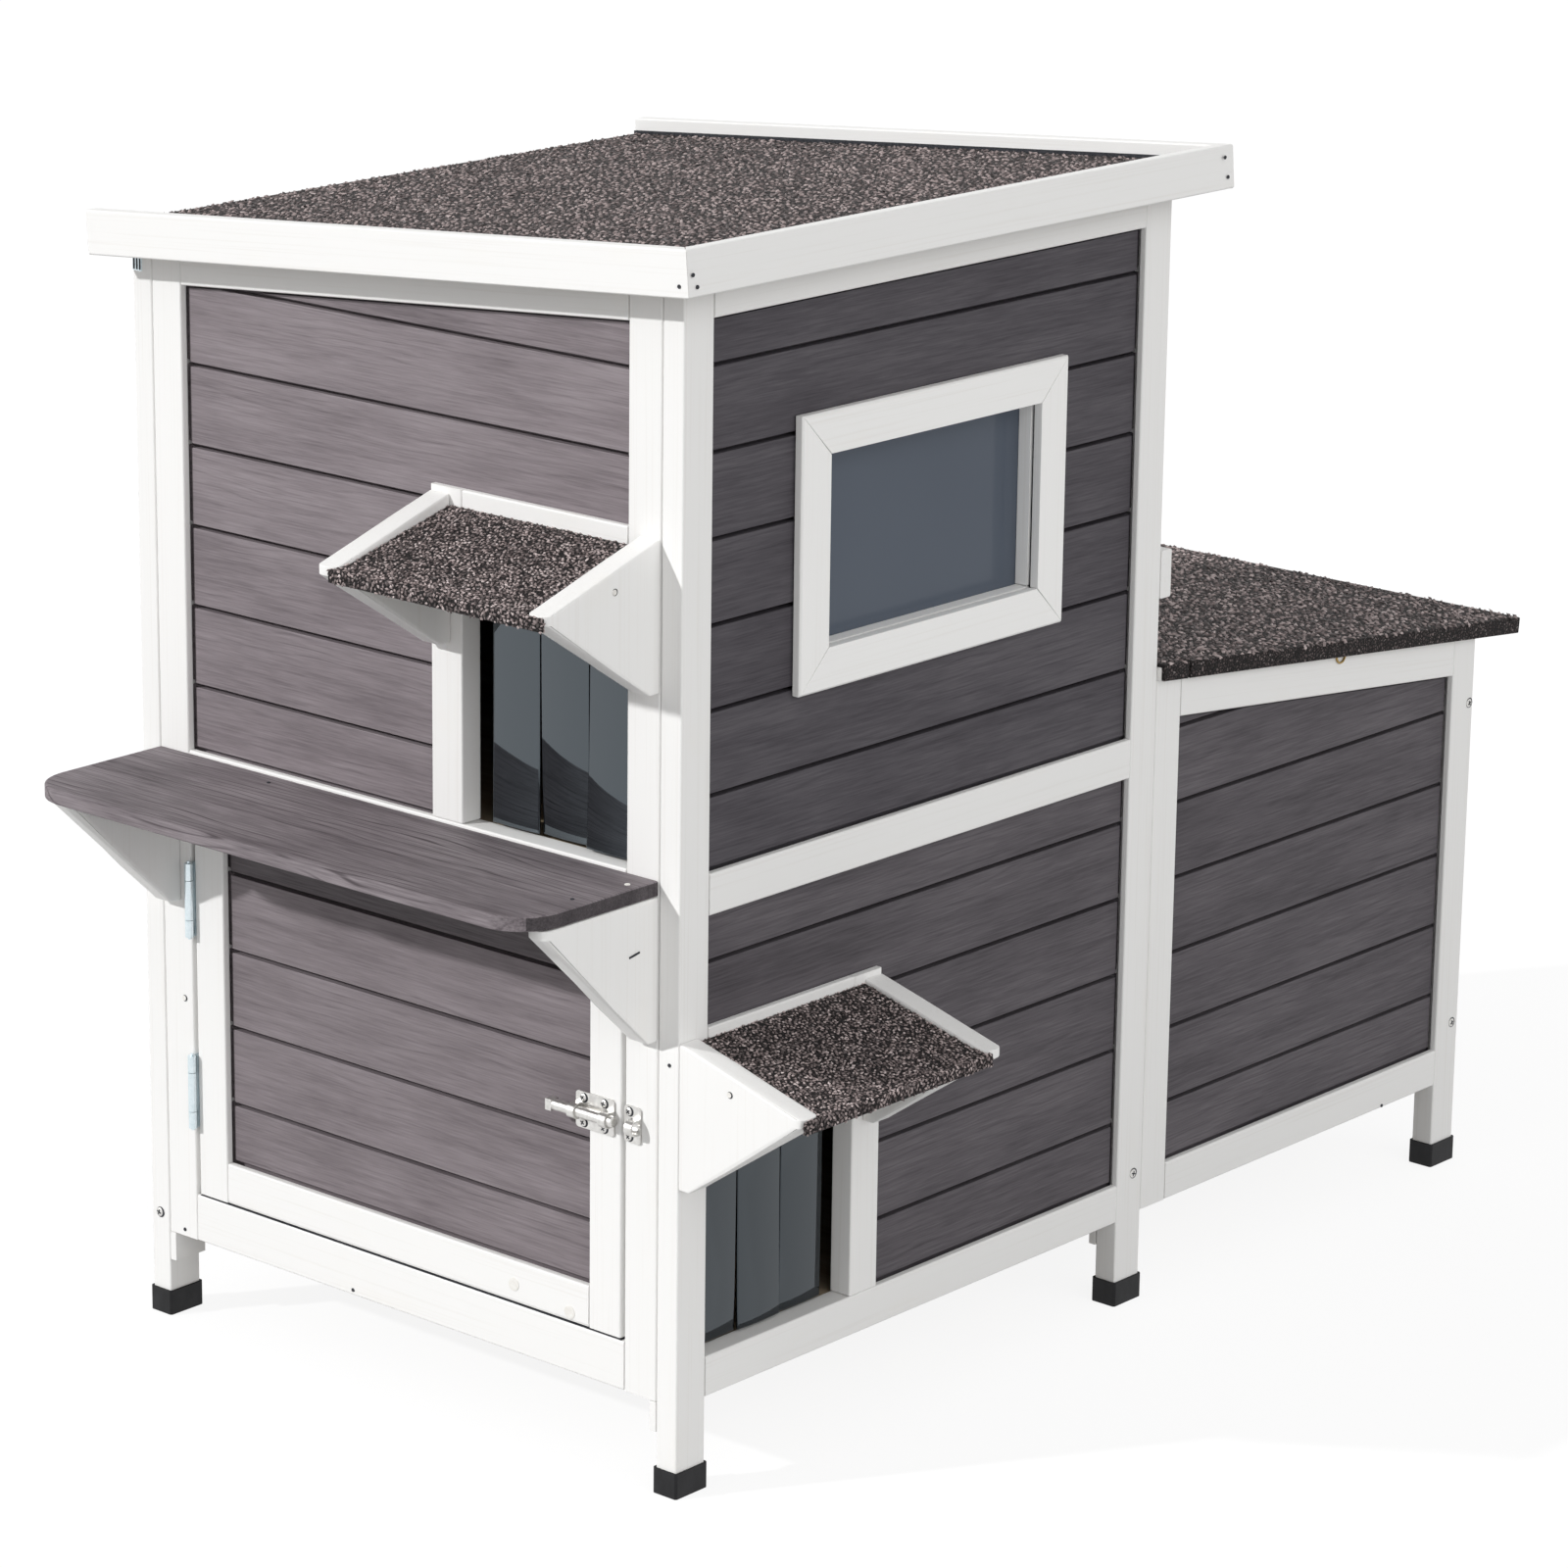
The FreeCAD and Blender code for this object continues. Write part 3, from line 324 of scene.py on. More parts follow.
def felt_granule():
    """Mineral granules that stand on the felt, each of one tone."""
    f = Finish("felt_granule")
    colour = f.ramp(f.attribute("tone", "Fac"), FELT_TONES)
    speck = f.noise(f.place(), (2600,) * 3, 1.0, 0.5)
    worn = f.mix(f.times(speck, 0.20), colour, rgb(0.10, 0.085, 0.08))
    return f.surface(Base_Color=worn, Roughness=0.5, Specular_IOR_Level=0.5)


def scratched_metal(name, cloud_scale, scratch_scales, dark, light, smooth, rough, scuff=0.0):
    """Plated steel, a little clouded, and rougher where it is scratched."""
    f = Finish(name)
    place = f.place()
    cloud = f.noise(place, (cloud_scale,) * 3, 3.0, 0.6)
    scratch = f.noise(place, scratch_scales, 2.0, 0.5)
    colour = f.ramp(cloud, [(0.3, rgb(*dark)), (0.7, rgb(*light))])
    gloss = f.ramp(scratch, [(0.25, grey(smooth)), (0.8, grey(rough))])
    relief = {"Normal": f.bump(scratch, scuff, 0.1 * MM)} if scuff else {}
    return f.surface(Base_Color=colour, Metallic=1.0, Roughness=gloss, **relief)


def clouded(name, scales, grade, dark, light, scuff=0.0, **surface):
    """A finish in soft clouds of two tones; grade is the clouds' detail and roughness."""
    f = Finish(name)
    cloud = f.noise(f.place(), scales, *grade)
    if scuff:
        surface["Normal"] = f.bump(cloud, scuff, 0.3 * MM)
    colour = f.ramp(cloud, [(0.3, rgb(*dark)), (0.7, rgb(*light))])
    return f.surface(Base_Color=colour, **surface)


def pvc_strip(name, index):
    """Smoked soft PVC: glossy, and dark where nothing bright lies behind or before it."""
    f = Finish(name)
    ripple = f.noise(f.place(), (16, 16, 6), 1.0, 0.4)
    relief = f.bump(ripple, 0.06, 4 * MM)
    return f.surface(Base_Color=rgb(0.006, 0.007, 0.009), Roughness=0.02, IOR=index,
                     Transmission_Weight=0.9, Specular_Tint=rgb(0.78, 0.90, 1.0), Normal=relief)


def foot_plastic():
    """Matt black moulded plastic."""
    f = Finish("foot_cap")
    place = f.place()
    mould = f.noise(place, (1500,) * 3, 2.0, 0.5)
    dust = f.noise(place, (90, 90, 60), 3.0, 0.6)
    colour = f.ramp(dust, [(0.35, rgb(0.007, 0.007, 0.008)), (0.75, rgb(0.016, 0.016, 0.018))])
    relief = f.bump(mould, 0.25, 0.2 * MM)
    return f.surface(Base_Color=colour, Roughness=0.5, Normal=relief, Specular_IOR_Level=0.25)


WHITE = white_paint("white_paint")
TRIM_WHITE = white_paint("white_paint_trim", 1.06)

# Stains: their dark, middle and light tones, sheen and figure
FRONT_STAIN = stain("front", (0.120, 0.101, 0.110), (0.207, 0.178, 0.191), (0.277, 0.243, 0.258), 0.35)
DOOR_STAIN = stain("door", (0.106, 0.089, 0.097), (0.182, 0.156, 0.167), (0.244, 0.213, 0.227), 0.35)
# The side and low stains are much darker copies of the front stain, which paints the shade on the walls
# other than the front
SHADED_SIDE_STAIN = stain("side", (0.045, 0.040, 0.047), (0.072, 0.066, 0.075), (0.104, 0.096, 0.106), 0.22)
SHADED_LOW_STAIN = stain("low", (0.057, 0.051, 0.057), (0.093, 0.084, 0.093), (0.132, 0.120, 0.130), 0.22)
SHELF_STAIN = stain("shelf", (0.070, 0.058, 0.064), (0.180, 0.157, 0.168), (0.290, 0.258, 0.272), 0.12,
                    0.19)
END_STAIN = stain("end", (0.030, 0.026, 0.029), (0.062, 0.054, 0.058), (0.110, 0.098, 0.104), 0.2)
# The head stain paints the shelf's shadow on the door's top board
SHELF_SHADOW_STAIN = stain("head", (0.063, 0.053, 0.058), (0.108, 0.094, 0.101), (0.146, 0.128, 0.136), 0.3)

# Bare wood, felt, zinc plate of the hinges, dull metal of the bolt and screws, blued nails and brass; the
# nails' dark finish is also used for painted shadows
SOFT_CLOUD = (2.0, 0.5)
ROUGH_CLOUD = (3.0, 0.6)
BARE = bare_softwood()
FELT = felt_sheet()
GRANULE = felt_granule()
ZINC = scratched_metal("zinc_steel", 260, (2400, 2400, 300), (0.66, 0.76, 0.80), (0.80, 0.88, 0.92),
                       0.24, 0.42, 0.06)
STEEL = scratched_metal("plain_steel", 320, (300, 2400, 2400), (0.60, 0.59, 0.57), (0.76, 0.75, 0.73),
                        0.28, 0.48)
NAIL_AND_SHADOW = clouded("dark_steel", (900,) * 3, SOFT_CLOUD, (0.015, 0.016, 0.020), (0.05, 0.052, 0.06),
               Roughness=0.6, Specular_IOR_Level=0.2)
BRASS = clouded("brass", (500,) * 3, SOFT_CLOUD, (0.22, 0.14, 0.05), (0.48, 0.34, 0.12),
                Metallic=1.0, Roughness=0.3)

# Strips and the pale colour of their cut and rounded edges, a painted highlight; putty in holes, tinted
# acrylic of the window, and foot caps
UPPER_PVC = pvc_strip("pvc_strip_upper", 2.0)
LOWER_PVC = pvc_strip("pvc_strip_lower", 1.72)
PVC_EDGE_HIGHLIGHT = clouded("pvc_edge", (300, 300, 40), SOFT_CLOUD, (0.34, 0.38, 0.42), (0.60, 0.65, 0.70),
                   Roughness=0.25, IOR=1.5)
FILLER = clouded("filler", (420,) * 3, ROUGH_CLOUD, (0.77, 0.745, 0.70), (0.85, 0.84, 0.81), 0.3,
                 Roughness=0.6, Specular_IOR_Level=0.3)
# The pane's base colour is its blue tint with a painted reflection of the bright ground added, in place
# of most of its gloss
PANE = clouded("window_pane", (6, 6, 6), SOFT_CLOUD, (0.094, 0.111, 0.142), (0.102, 0.120, 0.151),
               Roughness=0.12, IOR=1.49, Specular_IOR_Level=0.12, Transmission_Weight=0.06)
FOOT = foot_plastic()


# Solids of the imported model
def solids_of(node):
    """The triangles of a node, one list for each closed solid."""
    mesh = frame["nodes"][node].data
    corners = [tuple(round(c, CORNER_DIGITS) for c in v.co) for v in mesh.vertices]
    solids = [[]]
    unmatched = set()
    for polygon in mesh.polygons:
        ring = [corners[i] for i in polygon.vertices]
        solids[-1].append(ring)
        for start, end in zip(ring, ring[1:] + ring[:1]):
            if (end, start) in unmatched:
                unmatched.remove((end, start))
            else:
                unmatched.add((start, end))
        if not unmatched:
            solids.append([])
    return [solid for solid in solids if solid]


def whole_faces(triangles):
    """One solid with its corners merged and its flat faces whole."""
    bm = bmesh.new()
    spots = {}
    for ring in triangles:
        for corner in ring:
            if corner not in spots:
                spots[corner] = bm.verts.new(corner)
        if len(set(ring)) == len(ring):
            bm.faces.new([spots[corner] for corner in ring])
    bmesh.ops.dissolve_limit(bm, angle_limit=FLAT, verts=bm.verts[:], edges=bm.edges[:])
    return bm


def round_edges(bm, radius, steps=ARRIS_STEPS):
    """Rounds the solid's sharp edges."""
    edges = [e for e in bm.edges if len(e.link_faces) == 2 and e.calc_face_angle() > SHARP]
    bmesh.ops.bevel(bm, geom=edges, offset=radius, offset_type="OFFSET", segments=steps, profile=0.5,
                    affect="EDGES", clamp_overlap=True)


def cut(bm, place, way):
    """Cuts the solid's faces along a plane."""
    everything = bm.verts[:] + bm.edges[:] + bm.faces[:]
    bmesh.ops.bisect_plane(bm, geom=everything, dist=CUT_WIDTH, plane_co=place, plane_no=way)


def cloud_of(bm):
    """The solid's corners, and the ends of its box."""
    cloud = np.array([v.co for v in bm.verts])
    return cloud, cloud.min(0), cloud.max(0)


def grain_axes(bm, along):
    """Centre of a member and its axes along, across and through the grain."""
    cloud, low, high = cloud_of(bm)
    if along is None:
        axes = [Vector(axis) for axis in np.linalg.svd(cloud - cloud.mean(0), full_matrices=False)[2]]
    else:
        sides = sorted((X_WAY, Y_WAY, Z_WAY), key=lambda way: -np.ptp(cloud @ np.array(way)))
        axes = [along] + [way for way in sides if abs(way.dot(along)) < 0.5]
    return Vector((low + high) / 2), axes


def shown(name, mesh, finish=None):
    """A mesh as an object, smooth up to its creases."""
    if finish:
        mesh.materials.clear()
        mesh.materials.append(finish)
    mesh.polygons.foreach_set("use_smooth", [True] * len(mesh.polygons))
    mesh.set_sharp_from_angle(angle=CREASE)
    return put(name, mesh)


def store(mesh, name, values):
    """Gives each corner of the mesh its number or vector."""
    values = np.array(values, np.float32)
    kind, field = ("FLOAT_VECTOR", "vector") if values.ndim == 2 else ("FLOAT", "value")
    mesh.attributes.new(name, kind, "POINT").data.foreach_set(field, values.ravel())


class Pile:
    """Solids gathered into one mesh, with each member's grain and tone."""

    def __init__(self):
        self.places = []
        self.faces = []
        self.grain = []
        self.tones = []

    def take(self, bm, along=None):
        centre, axes = grain_axes(bm, along)
        start = len(self.places)
        offset = draw.uniform(0, 30)
        tone = draw.random()
        bm.verts.index_update()
        for v in bm.verts:
            away = v.co - centre
            self.places.append(v.co.copy())
            self.grain.append((away.dot(axes[0]) + offset, away.dot(axes[1]), away.dot(axes[2])))
            self.tones.append(tone)
        self.faces += [[start + v.index for v in face.verts] for face in bm.faces]
        bm.free()

    def piece(self, name, finish):
        mesh = bpy.data.meshes.new(name)
        mesh.from_pydata(self.places, [], self.faces)
        store(mesh, "grain", self.grain)
        store(mesh, "tone", self.tones)
        return shown(name, mesh, finish)


def stand_for(piece, node):
    """The piece takes the node's place on its body."""
    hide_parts(node)
    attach(piece, BODY_OF[node])


def evened(piece, node):
    """The piece in the node's place, with its flat faces kept flat beside their rounded edges."""
    modifier = piece.modifiers.new("even_shading", "WEIGHTED_NORMAL")
    modifier.keep_sharp = True
    stand_for(piece, node)
    return piece


# Changes to the shape of a member
def round_nose(bm, way):
    """Rounds the far end of a cheek or bracket along the way, as seen from above."""
    side = Z_WAY.cross(way)
    offsets = [v.co.dot(side) for v in bm.verts]
    middle = (min(offsets) + max(offsets)) / 2
    half = max(offsets) - middle
    reach = max(v.co.dot(way) for v in bm.verts)
    for share in NOSE_CUTS:
        for sign in (1, -1):
            cut(bm, side * (middle + sign * (half - NOSE_RADIUS * (1 - share))), side)
    for v in bm.verts:
        beyond = abs(v.co.dot(side) - middle) - (half - NOSE_RADIUS)
        if beyond > 0 and reach - v.co.dot(way) < NOSE_DEPTH:
            v.co -= way * (NOSE_RADIUS - math.sqrt(max(0.0, NOSE_RADIUS ** 2 - beyond ** 2)))


def draw_in(bm):
    """Makes a member a little smaller all round, which leaves fine dark lines at its joints."""
    _, low, high = cloud_of(bm)
    for v in bm.verts:
        for axis in range(3):
            middle = (low[axis] + high[axis]) / 2
            v.co[axis] = middle + (v.co[axis] - middle) * (1 - 2 * JOINT_GAP / (high[axis] - low[axis]))


def widen_corners(bm):
    """Makes the rounding of the shelf's front corners wider."""
    _, low, high = cloud_of(bm)
    for v in bm.verts:
        for end in (low[0], high[0]):
            if abs(v.co.x - end) < SHELF_CORNER and v.co.y - low[1] < SHELF_CORNER:
                v.co.x = end + (v.co.x - end) * CORNER_GROWTH
                v.co.y = low[1] + (v.co.y - low[1]) * CORNER_GROWTH


def shorten(bm):
    """Makes a bracket a little smaller from the wall and from the shelf."""
    _, _, (_, wall, top) = cloud_of(bm)
    for v in bm.verts:
        v.co.y = wall + (v.co.y - wall) * BRACKET_REACH
        v.co.z = top + (v.co.z - top) * BRACKET_FALL


def sag(bm):
    """Lowers the upper canopy's slope at the wall."""
    for v in bm.verts:
        if v.co.z > CANOPY_LEVEL:
            v.co.z -= CANOPY_SAG * max(0.0, 1 - (FRONT_FACE - v.co.y) / CANOPY_REACH)


def hang_low(bm):
    """Lowers the door's foot, which leaves a thin gap over the sill."""
    for v in bm.verts:
        if v.co.z < DOOR_LOW.z + MM:
            v.co.z -= DOOR_DROP


def second_finish(piece, finish, chosen):
    """Gives a second finish to the faces that are chosen."""
    piece.data.materials.append(finish)
    for polygon in piece.data.polygons:
        if chosen(polygon):
            polygon.material_index = 1


def gathered(node, radius, shapes=(), along=None, nose=None):
    """The node's solids, changed in shape and with rounded edges; nose is the way that cheeks point."""
    pile = Pile()
    for triangles in solids_of(node):
        bm = whole_faces(triangles)
        for shape in shapes:
            shape(bm)
        round_edges(bm, radius)
        if nose:
            round_nose(bm, nose)
        pile.take(bm, along)
    return pile


def timber(node, finish, along=None, nose=None, shapes=()):
    """The node's members with rounded arrises and their own grain."""
    pile = gathered(node, TIMBER_ARRIS, (draw_in, *shapes), along, nose)
    return evened(pile.piece("timber_" + node, finish), node)


def fittings(node, finish, radius):
    """The node's solids with their edges broken."""
    evened(gathered(node, radius).piece("finished_" + node, finish), node)


# Boards, stepped back beside the frame
def step_back(bm, place, inside, outward, depth=GAP_DEPTH):
    """Lowers a board's face outside a plane, which leaves a narrow dark gap beside the frame."""
    for shift in (0.0, GAP_STEP):
        cut(bm, place + inside * shift, inside)
    face = max(v.co.dot(outward) for v in bm.verts)
    for v in bm.verts:
        if (v.co - place).dot(inside) < TOUCH:
            proud = v.co.dot(outward) - (face - depth)
            if proud > 0:
                v.co -= outward * proud


def boards(node, finish, along, outward, top=None):
    """Grooved boards of one panel, and the heights of their lower edges; top is a sloping upper edge's
    (place, way in)."""
    low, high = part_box(node)
    pile = Pile()
    solids = solids_of(node)
    joints = sorted(min(corner[2] for ring in triangles for corner in ring) for triangles in solids)
    for triangles in solids:
        bm = whole_faces(triangles)
        round_edges(bm, BOARD_ARRIS, 1)
        face = max(v.co.dot(outward) for v in bm.verts)
        for v in bm.verts:
            if face - v.co.dot(outward) < FACE_SKIN:
                v.co -= outward * FACE_SINK
        ends = [v.co.dot(along) for v in bm.verts]
        foot = min(v.co.z for v in bm.verts)
        head = max(v.co.z for v in bm.verts)
        step_back(bm, along * (min(ends) + EDGE_INSET), along, outward)
        step_back(bm, along * (max(ends) - EDGE_INSET), -along, outward)
        if foot < low.z + MM:
            step_back(bm, Z_WAY * (low.z + EDGE_INSET), Z_WAY, outward)
        else:
            step_back(bm, Z_WAY * (foot + SLOT_ABOVE), Z_WAY, outward, SLOT_DEPTH)
        for joint in joints:
            if foot + MM < joint < head + MM:
                step_back(bm, Z_WAY * (joint - SLOT_BELOW), -Z_WAY, outward, SLOT_DEPTH)
        if top:
            step_back(bm, *top, outward)
        elif head > high.z - MM:
            step_back(bm, Z_WAY * (high.z - EDGE_INSET), -Z_WAY, outward)
        pile.take(bm, along)
    return evened(pile.piece("boards_" + node, finish), node), joints


# Geometry trees
class Growth(Graph):
    """A geometry tree with named inputs, one of them the material of what it grows."""

    def __init__(self, name, **inputs):
        super().__init__(bpy.data.node_groups.new(name, "GeometryNodeTree"))
        socket = self.tree.interface.new_socket
        for label, kind in {"Geometry": "Geometry", **inputs}.items():
            socket(label.replace("_", " "), in_out="INPUT", socket_type="NodeSocket" + kind)
        socket("Geometry", in_out="OUTPUT", socket_type="NodeSocketGeometry")
        self.given = self.tree.nodes.new("NodeGroupInput").outputs
        self.result = self.tree.nodes.new("NodeGroupOutput").inputs[0]

    def coat(self, shape):
        inputs = {"Geometry": shape, "Material": self.given["Material"]}
        return self.out("GeometryNodeSetMaterial", inputs)

    def join(self, *shapes):
        node = self.add("GeometryNodeJoinGeometry")
        for shape in shapes:
            self.tree.links.new(shape, node.inputs[0])
        return node.outputs[0]

    def end(self, shape):
        self.tree.links.new(shape, self.result)
        return self.tree


def grown(base, tree, values):
    """The plain mesh that a tree makes from a base object, which goes."""
    modifier = base.modifiers.new(tree.name, "NODES")
    modifier.node_group = tree
    for socket in tree.interface.items_tree:
        if socket.in_out == "INPUT" and socket.name in values:
            modifier[socket.identifier] = values[socket.name]
    graph = bpy.context.evaluated_depsgraph_get()
    graph.update()
    mesh = bpy.data.meshes.new_from_object(base.evaluated_get(graph))
    bpy.data.objects.remove(base)
    return mesh


# Least and most turn and shape of a granule, and the seeds of its shape and tone
LEAST_TURN, MOST_TURN = (-0.5, -0.5, 0.0), (0.5, 0.5, 6.3)
LEAST_SHAPE, MOST_SHAPE = (0.9, 0.6, 0.5), (1.6, 1.0, 0.8)
SHAPE_SEED, TONE_SEED = 5, 9


def granule_tree():
    """Scatters small angular granules over the weather side of a felt."""
    g = Growth("granules", Spacing="Float", Per_square_metre="Float", Size="Float", Least_lift="Float",
               Least_tone="Float", Most_tone="Float", Seed="Int", Material="Material")
    felted, seed = g.given["Geometry"], g.given["Seed"]
    normal = g.out("GeometryNodeInputNormal")
    lift = g.add("ShaderNodeSeparateXYZ", {0: normal}).outputs[2]
    outside = g.out("FunctionNodeCompare", {0: lift, 1: g.given["Least lift"]},
                    data_type="FLOAT", operation="GREATER_THAN")
    points = g.add("GeometryNodeDistributePointsOnFaces",
                   {"Mesh": felted, "Selection": outside, "Distance Min": g.given["Spacing"],
                    "Density Max": g.given["Per square metre"], "Seed": seed},
                   distribute_method="POISSON").outputs
    stone = g.out("GeometryNodeMeshUVSphere", {"Segments": 4, "Rings": 2, "Radius": 0.5})
    turn = g.out("FunctionNodeRandomValue", {0: LEAST_TURN, 1: MOST_TURN, "Seed": seed},
                 data_type="FLOAT_VECTOR")
    tilt = g.out("FunctionNodeEulerToRotation", {0: turn})
    laid = g.out("FunctionNodeRotateRotation", {"Rotation": points["Rotation"], "Rotate By": tilt},
                 rotation_space="LOCAL")
    shape = g.out("FunctionNodeRandomValue", {0: LEAST_SHAPE, 1: MOST_SHAPE, "Seed": SHAPE_SEED},
                  data_type="FLOAT_VECTOR")
    sized = g.out("ShaderNodeVectorMath", {0: shape, 3: g.given["Size"]}, operation="SCALE")
    stones = g.out("GeometryNodeInstanceOnPoints",
                   {"Points": points["Points"], "Instance": stone, "Rotation": laid, "Scale": sized})
    tone = g.add("FunctionNodeRandomValue",
                 {2: g.given["Least tone"], 3: g.given["Most tone"], "Seed": TONE_SEED},
                 data_type="FLOAT").outputs[1]
    toned = g.out("GeometryNodeStoreNamedAttribute", {"Geometry": stones, "Name": "tone", "Value": tone},
                  data_type="FLOAT", domain="INSTANCE")
    real = g.out("GeometryNodeRealizeInstances", {"Geometry": toned})
    return g.end(g.join(g.coat(real), felted))


def fixing_tree():
    """Sets a head on each point, turned to face the way that the point says."""
    g = Growth("fixings", Head="Object", Material="Material")
    facing = g.out("GeometryNodeInputNamedAttribute", {"Name": "facing"}, data_type="FLOAT_VECTOR")
    twist = g.out("GeometryNodeInputNamedAttribute", {"Name": "twist"}, data_type="FLOAT")
    aimed = g.out("FunctionNodeAlignRotationToVector", {"Vector": facing}, axis="Z")
    about = g.out("FunctionNodeAxisAngleToRotation", {"Axis": Z_WAY, "Angle": twist})
    turned = g.out("FunctionNodeRotateRotation", {"Rotation": aimed, "Rotate By": about},
                   rotation_space="LOCAL")
    head = g.add("GeometryNodeObjectInfo", {"Object": g.given["Head"]}).outputs["Geometry"]
    heads = g.out("GeometryNodeInstanceOnPoints",
                  {"Points": g.given["Geometry"], "Instance": head, "Rotation": turned})
    return g.end(g.coat(g.out("GeometryNodeRealizeInstances", {"Geometry": heads})))


# Corners of a strip's sheet, how its curl grows downwards, and how soon below the clamp it is free
STRIP_COLUMNS, STRIP_ROWS = 15, 61
CURL_POWER = 3.0
FREE_RATE = 4.0
STRIP_MERGE = 0.01 * MM


def strip_tree():
    """A hanging strip: a bowed sheet with a soft curl at its foot, in its own flat frame."""
    g = Growth("strip", Width="Float", Length="Float", Thickness="Float", Bow="Float", Curl="Float",
               Material="Material")
    sheet = g.out("GeometryNodeMeshGrid", {"Size X": g.given["Width"], "Size Y": g.given["Length"],
                                           "Vertices X": STRIP_COLUMNS, "Vertices Y": STRIP_ROWS})
    parts = g.add("ShaderNodeSeparateXYZ", {0: g.out("GeometryNodeInputPosition")}).outputs
    side = g.maths("DIVIDE", g.times(parts[0], 2.0), g.given["Width"])
    bow = g.times(g.given["Bow"], g.minus(1.0, g.maths("POWER", side, 2.0)))
    down = g.minus(0.5, g.maths("DIVIDE", parts[1], g.given["Length"]))
    curl = g.times(g.given["Curl"], g.maths("POWER", down, CURL_POWER))
    hang = g.times(g.plus(bow, curl), g.maths("MINIMUM", g.times(down, FREE_RATE), 1.0))
    bent = g.out("GeometryNodeSetPosition",
                 {"Geometry": sheet, "Offset": g.out("ShaderNodeCombineXYZ", {2: hang})})
    front = g.out("GeometryNodeExtrudeMesh", {"Mesh": bent, "Offset": Z_WAY,
                                              "Offset Scale": g.given["Thickness"], "Individual": False})
    back = g.out("GeometryNodeFlipFaces", {"Mesh": bent})
    whole = g.out("GeometryNodeMergeByDistance",
                  {"Geometry": g.join(front, back), "Distance": STRIP_MERGE})
    return g.end(g.coat(whole))


GRANULES = granule_tree()
FIXINGS = fixing_tree()
STRIP = strip_tree()


# Felt
GRIT = ("Spacing", "Per square metre", "Size", "Least tone", "Most tone")


def felt(node, grit, seed, least_lift, shapes=()):
    """A felt with soft edges under granules; faces that look up less than the least lift stay bare."""
    base = gathered(node, FELT_ARRIS, shapes).piece("felt_" + node, FELT)
    values = {"Least lift": least_lift, "Seed": seed, "Material": GRANULE, **dict(zip(GRIT, grit))}
    stand_for(shown("granulated_" + node, grown(base, GRANULES, values)), node)


# Fixings
HEAD_SUNK = 0.4 * MM
DOME_RINGS, DOME_SPOKES = 6, 24
DOME_FALL = 0.85
NAIL_SPOKES = 14
NAIL_DENT = 0.2
NAIL_OUTLINE = ((0.30, 0.35), (0.62, 0.8), (0.90, 1.0), (1.0, 0.55), (1.0, -1.0))
CROSS_LENGTH, CROSS_WIDTH = 1.24, 0.30
CROSS_DEPTH, CROSS_SUNK = 0.34 * MM, 0.1 * MM
EYE_STEPS, WIRE_STEPS = 28, 8
EYE_LIFT = 0.8
heads = []


def loose_mesh(name, bm):
    """A bmesh as an object that only the fixing tree uses."""
    bmesh.ops.recalc_face_normals(bm, faces=bm.faces[:])
    mesh = bpy.data.meshes.new(name)
    bm.to_mesh(mesh)
    bm.free()
    heads.append(put(name, mesh))
    return heads[-1]


def angles(count):
    """Equal steps round a circle."""
    return [2 * math.pi * k / count for k in range(count)]


def band(bm, first, second):
    """Faces between two loops of corners."""
    for s in range(len(first)):
        t = (s + 1) % len(first)
        bm.faces.new((first[s], second[s], second[t], first[t]))


def turned_head(name, radius, middle, outline, spokes):
    """A round head with a flat underside; its outline is (share of the radius, height) pairs outwards."""
    bm = bmesh.new()
    centre = bm.verts.new((0, 0, middle))
    loops = [[bm.verts.new((share * radius * math.cos(a), share * radius * math.sin(a), height))
              for a in angles(spokes)] for share, height in outline]
    for s in range(spokes):
        bm.faces.new((centre, loops[0][s], loops[0][(s + 1) % spokes]))
    for inner, outer in zip(loops[:-1], loops[1:]):
        band(bm, inner, outer)
    bm.faces.new(loops[-1][::-1])
    return loose_mesh(name, bm)


def dome_head(name, radius, rise):
    """A domed screw head; its underside is sunk a little below the surface."""
    shares = [k / DOME_RINGS for k in range(1, DOME_RINGS + 1)]
    outline = [(share, rise * math.sqrt(1 - DOME_FALL * share ** 2)) for share in shares]
    return turned_head(name, radius, rise, outline + [(1.0, -HEAD_SUNK)], DOME_SPOKES)


def nail_head(name, radius, rise):
    """A flat nail head with a small dent, sunk a little below the surface."""
    outline = [(share, height * rise) for share, height in NAIL_OUTLINE]
    return turned_head(name, radius, NAIL_DENT * rise, outline, NAIL_SPOKES)


def add_box(bm, stand, sizes):
    """A box of these sizes, in its place."""
    bmesh.ops.create_cube(bm, size=1.0, matrix=stand @ Matrix.Diagonal((*sizes, 1.0)))


def cross_mark(name, radius, rise):
    """The dark cross on top of a screw head, which paints the shade inside its recess."""
    bm = bmesh.new()
    stand = Matrix.Translation((0, 0, rise - CROSS_SUNK))
    add_box(bm, stand, (CROSS_LENGTH * radius, CROSS_WIDTH * radius, CROSS_DEPTH))
    add_box(bm, stand, (CROSS_WIDTH * radius, CROSS_LENGTH * radius, CROSS_DEPTH))
    return loose_mesh(name, bm)


def ring_eye(name, radius, wire):
    """A wire ring that lies on the surface."""
    bm = bmesh.new()
    loops = []
    for angle in angles(EYE_STEPS):
        out = Vector((math.cos(angle), math.sin(angle), 0))
        centre = out * radius + Z_WAY * (EYE_LIFT * wire)
        loops.append([bm.verts.new(centre + wire * (out * math.cos(t) + Z_WAY * math.sin(t)))
                      for t in angles(WIRE_STEPS)])
    for near, far in zip(loops, loops[1:] + loops[:1]):
        band(bm, near, far)
    return loose_mesh(name, bm)


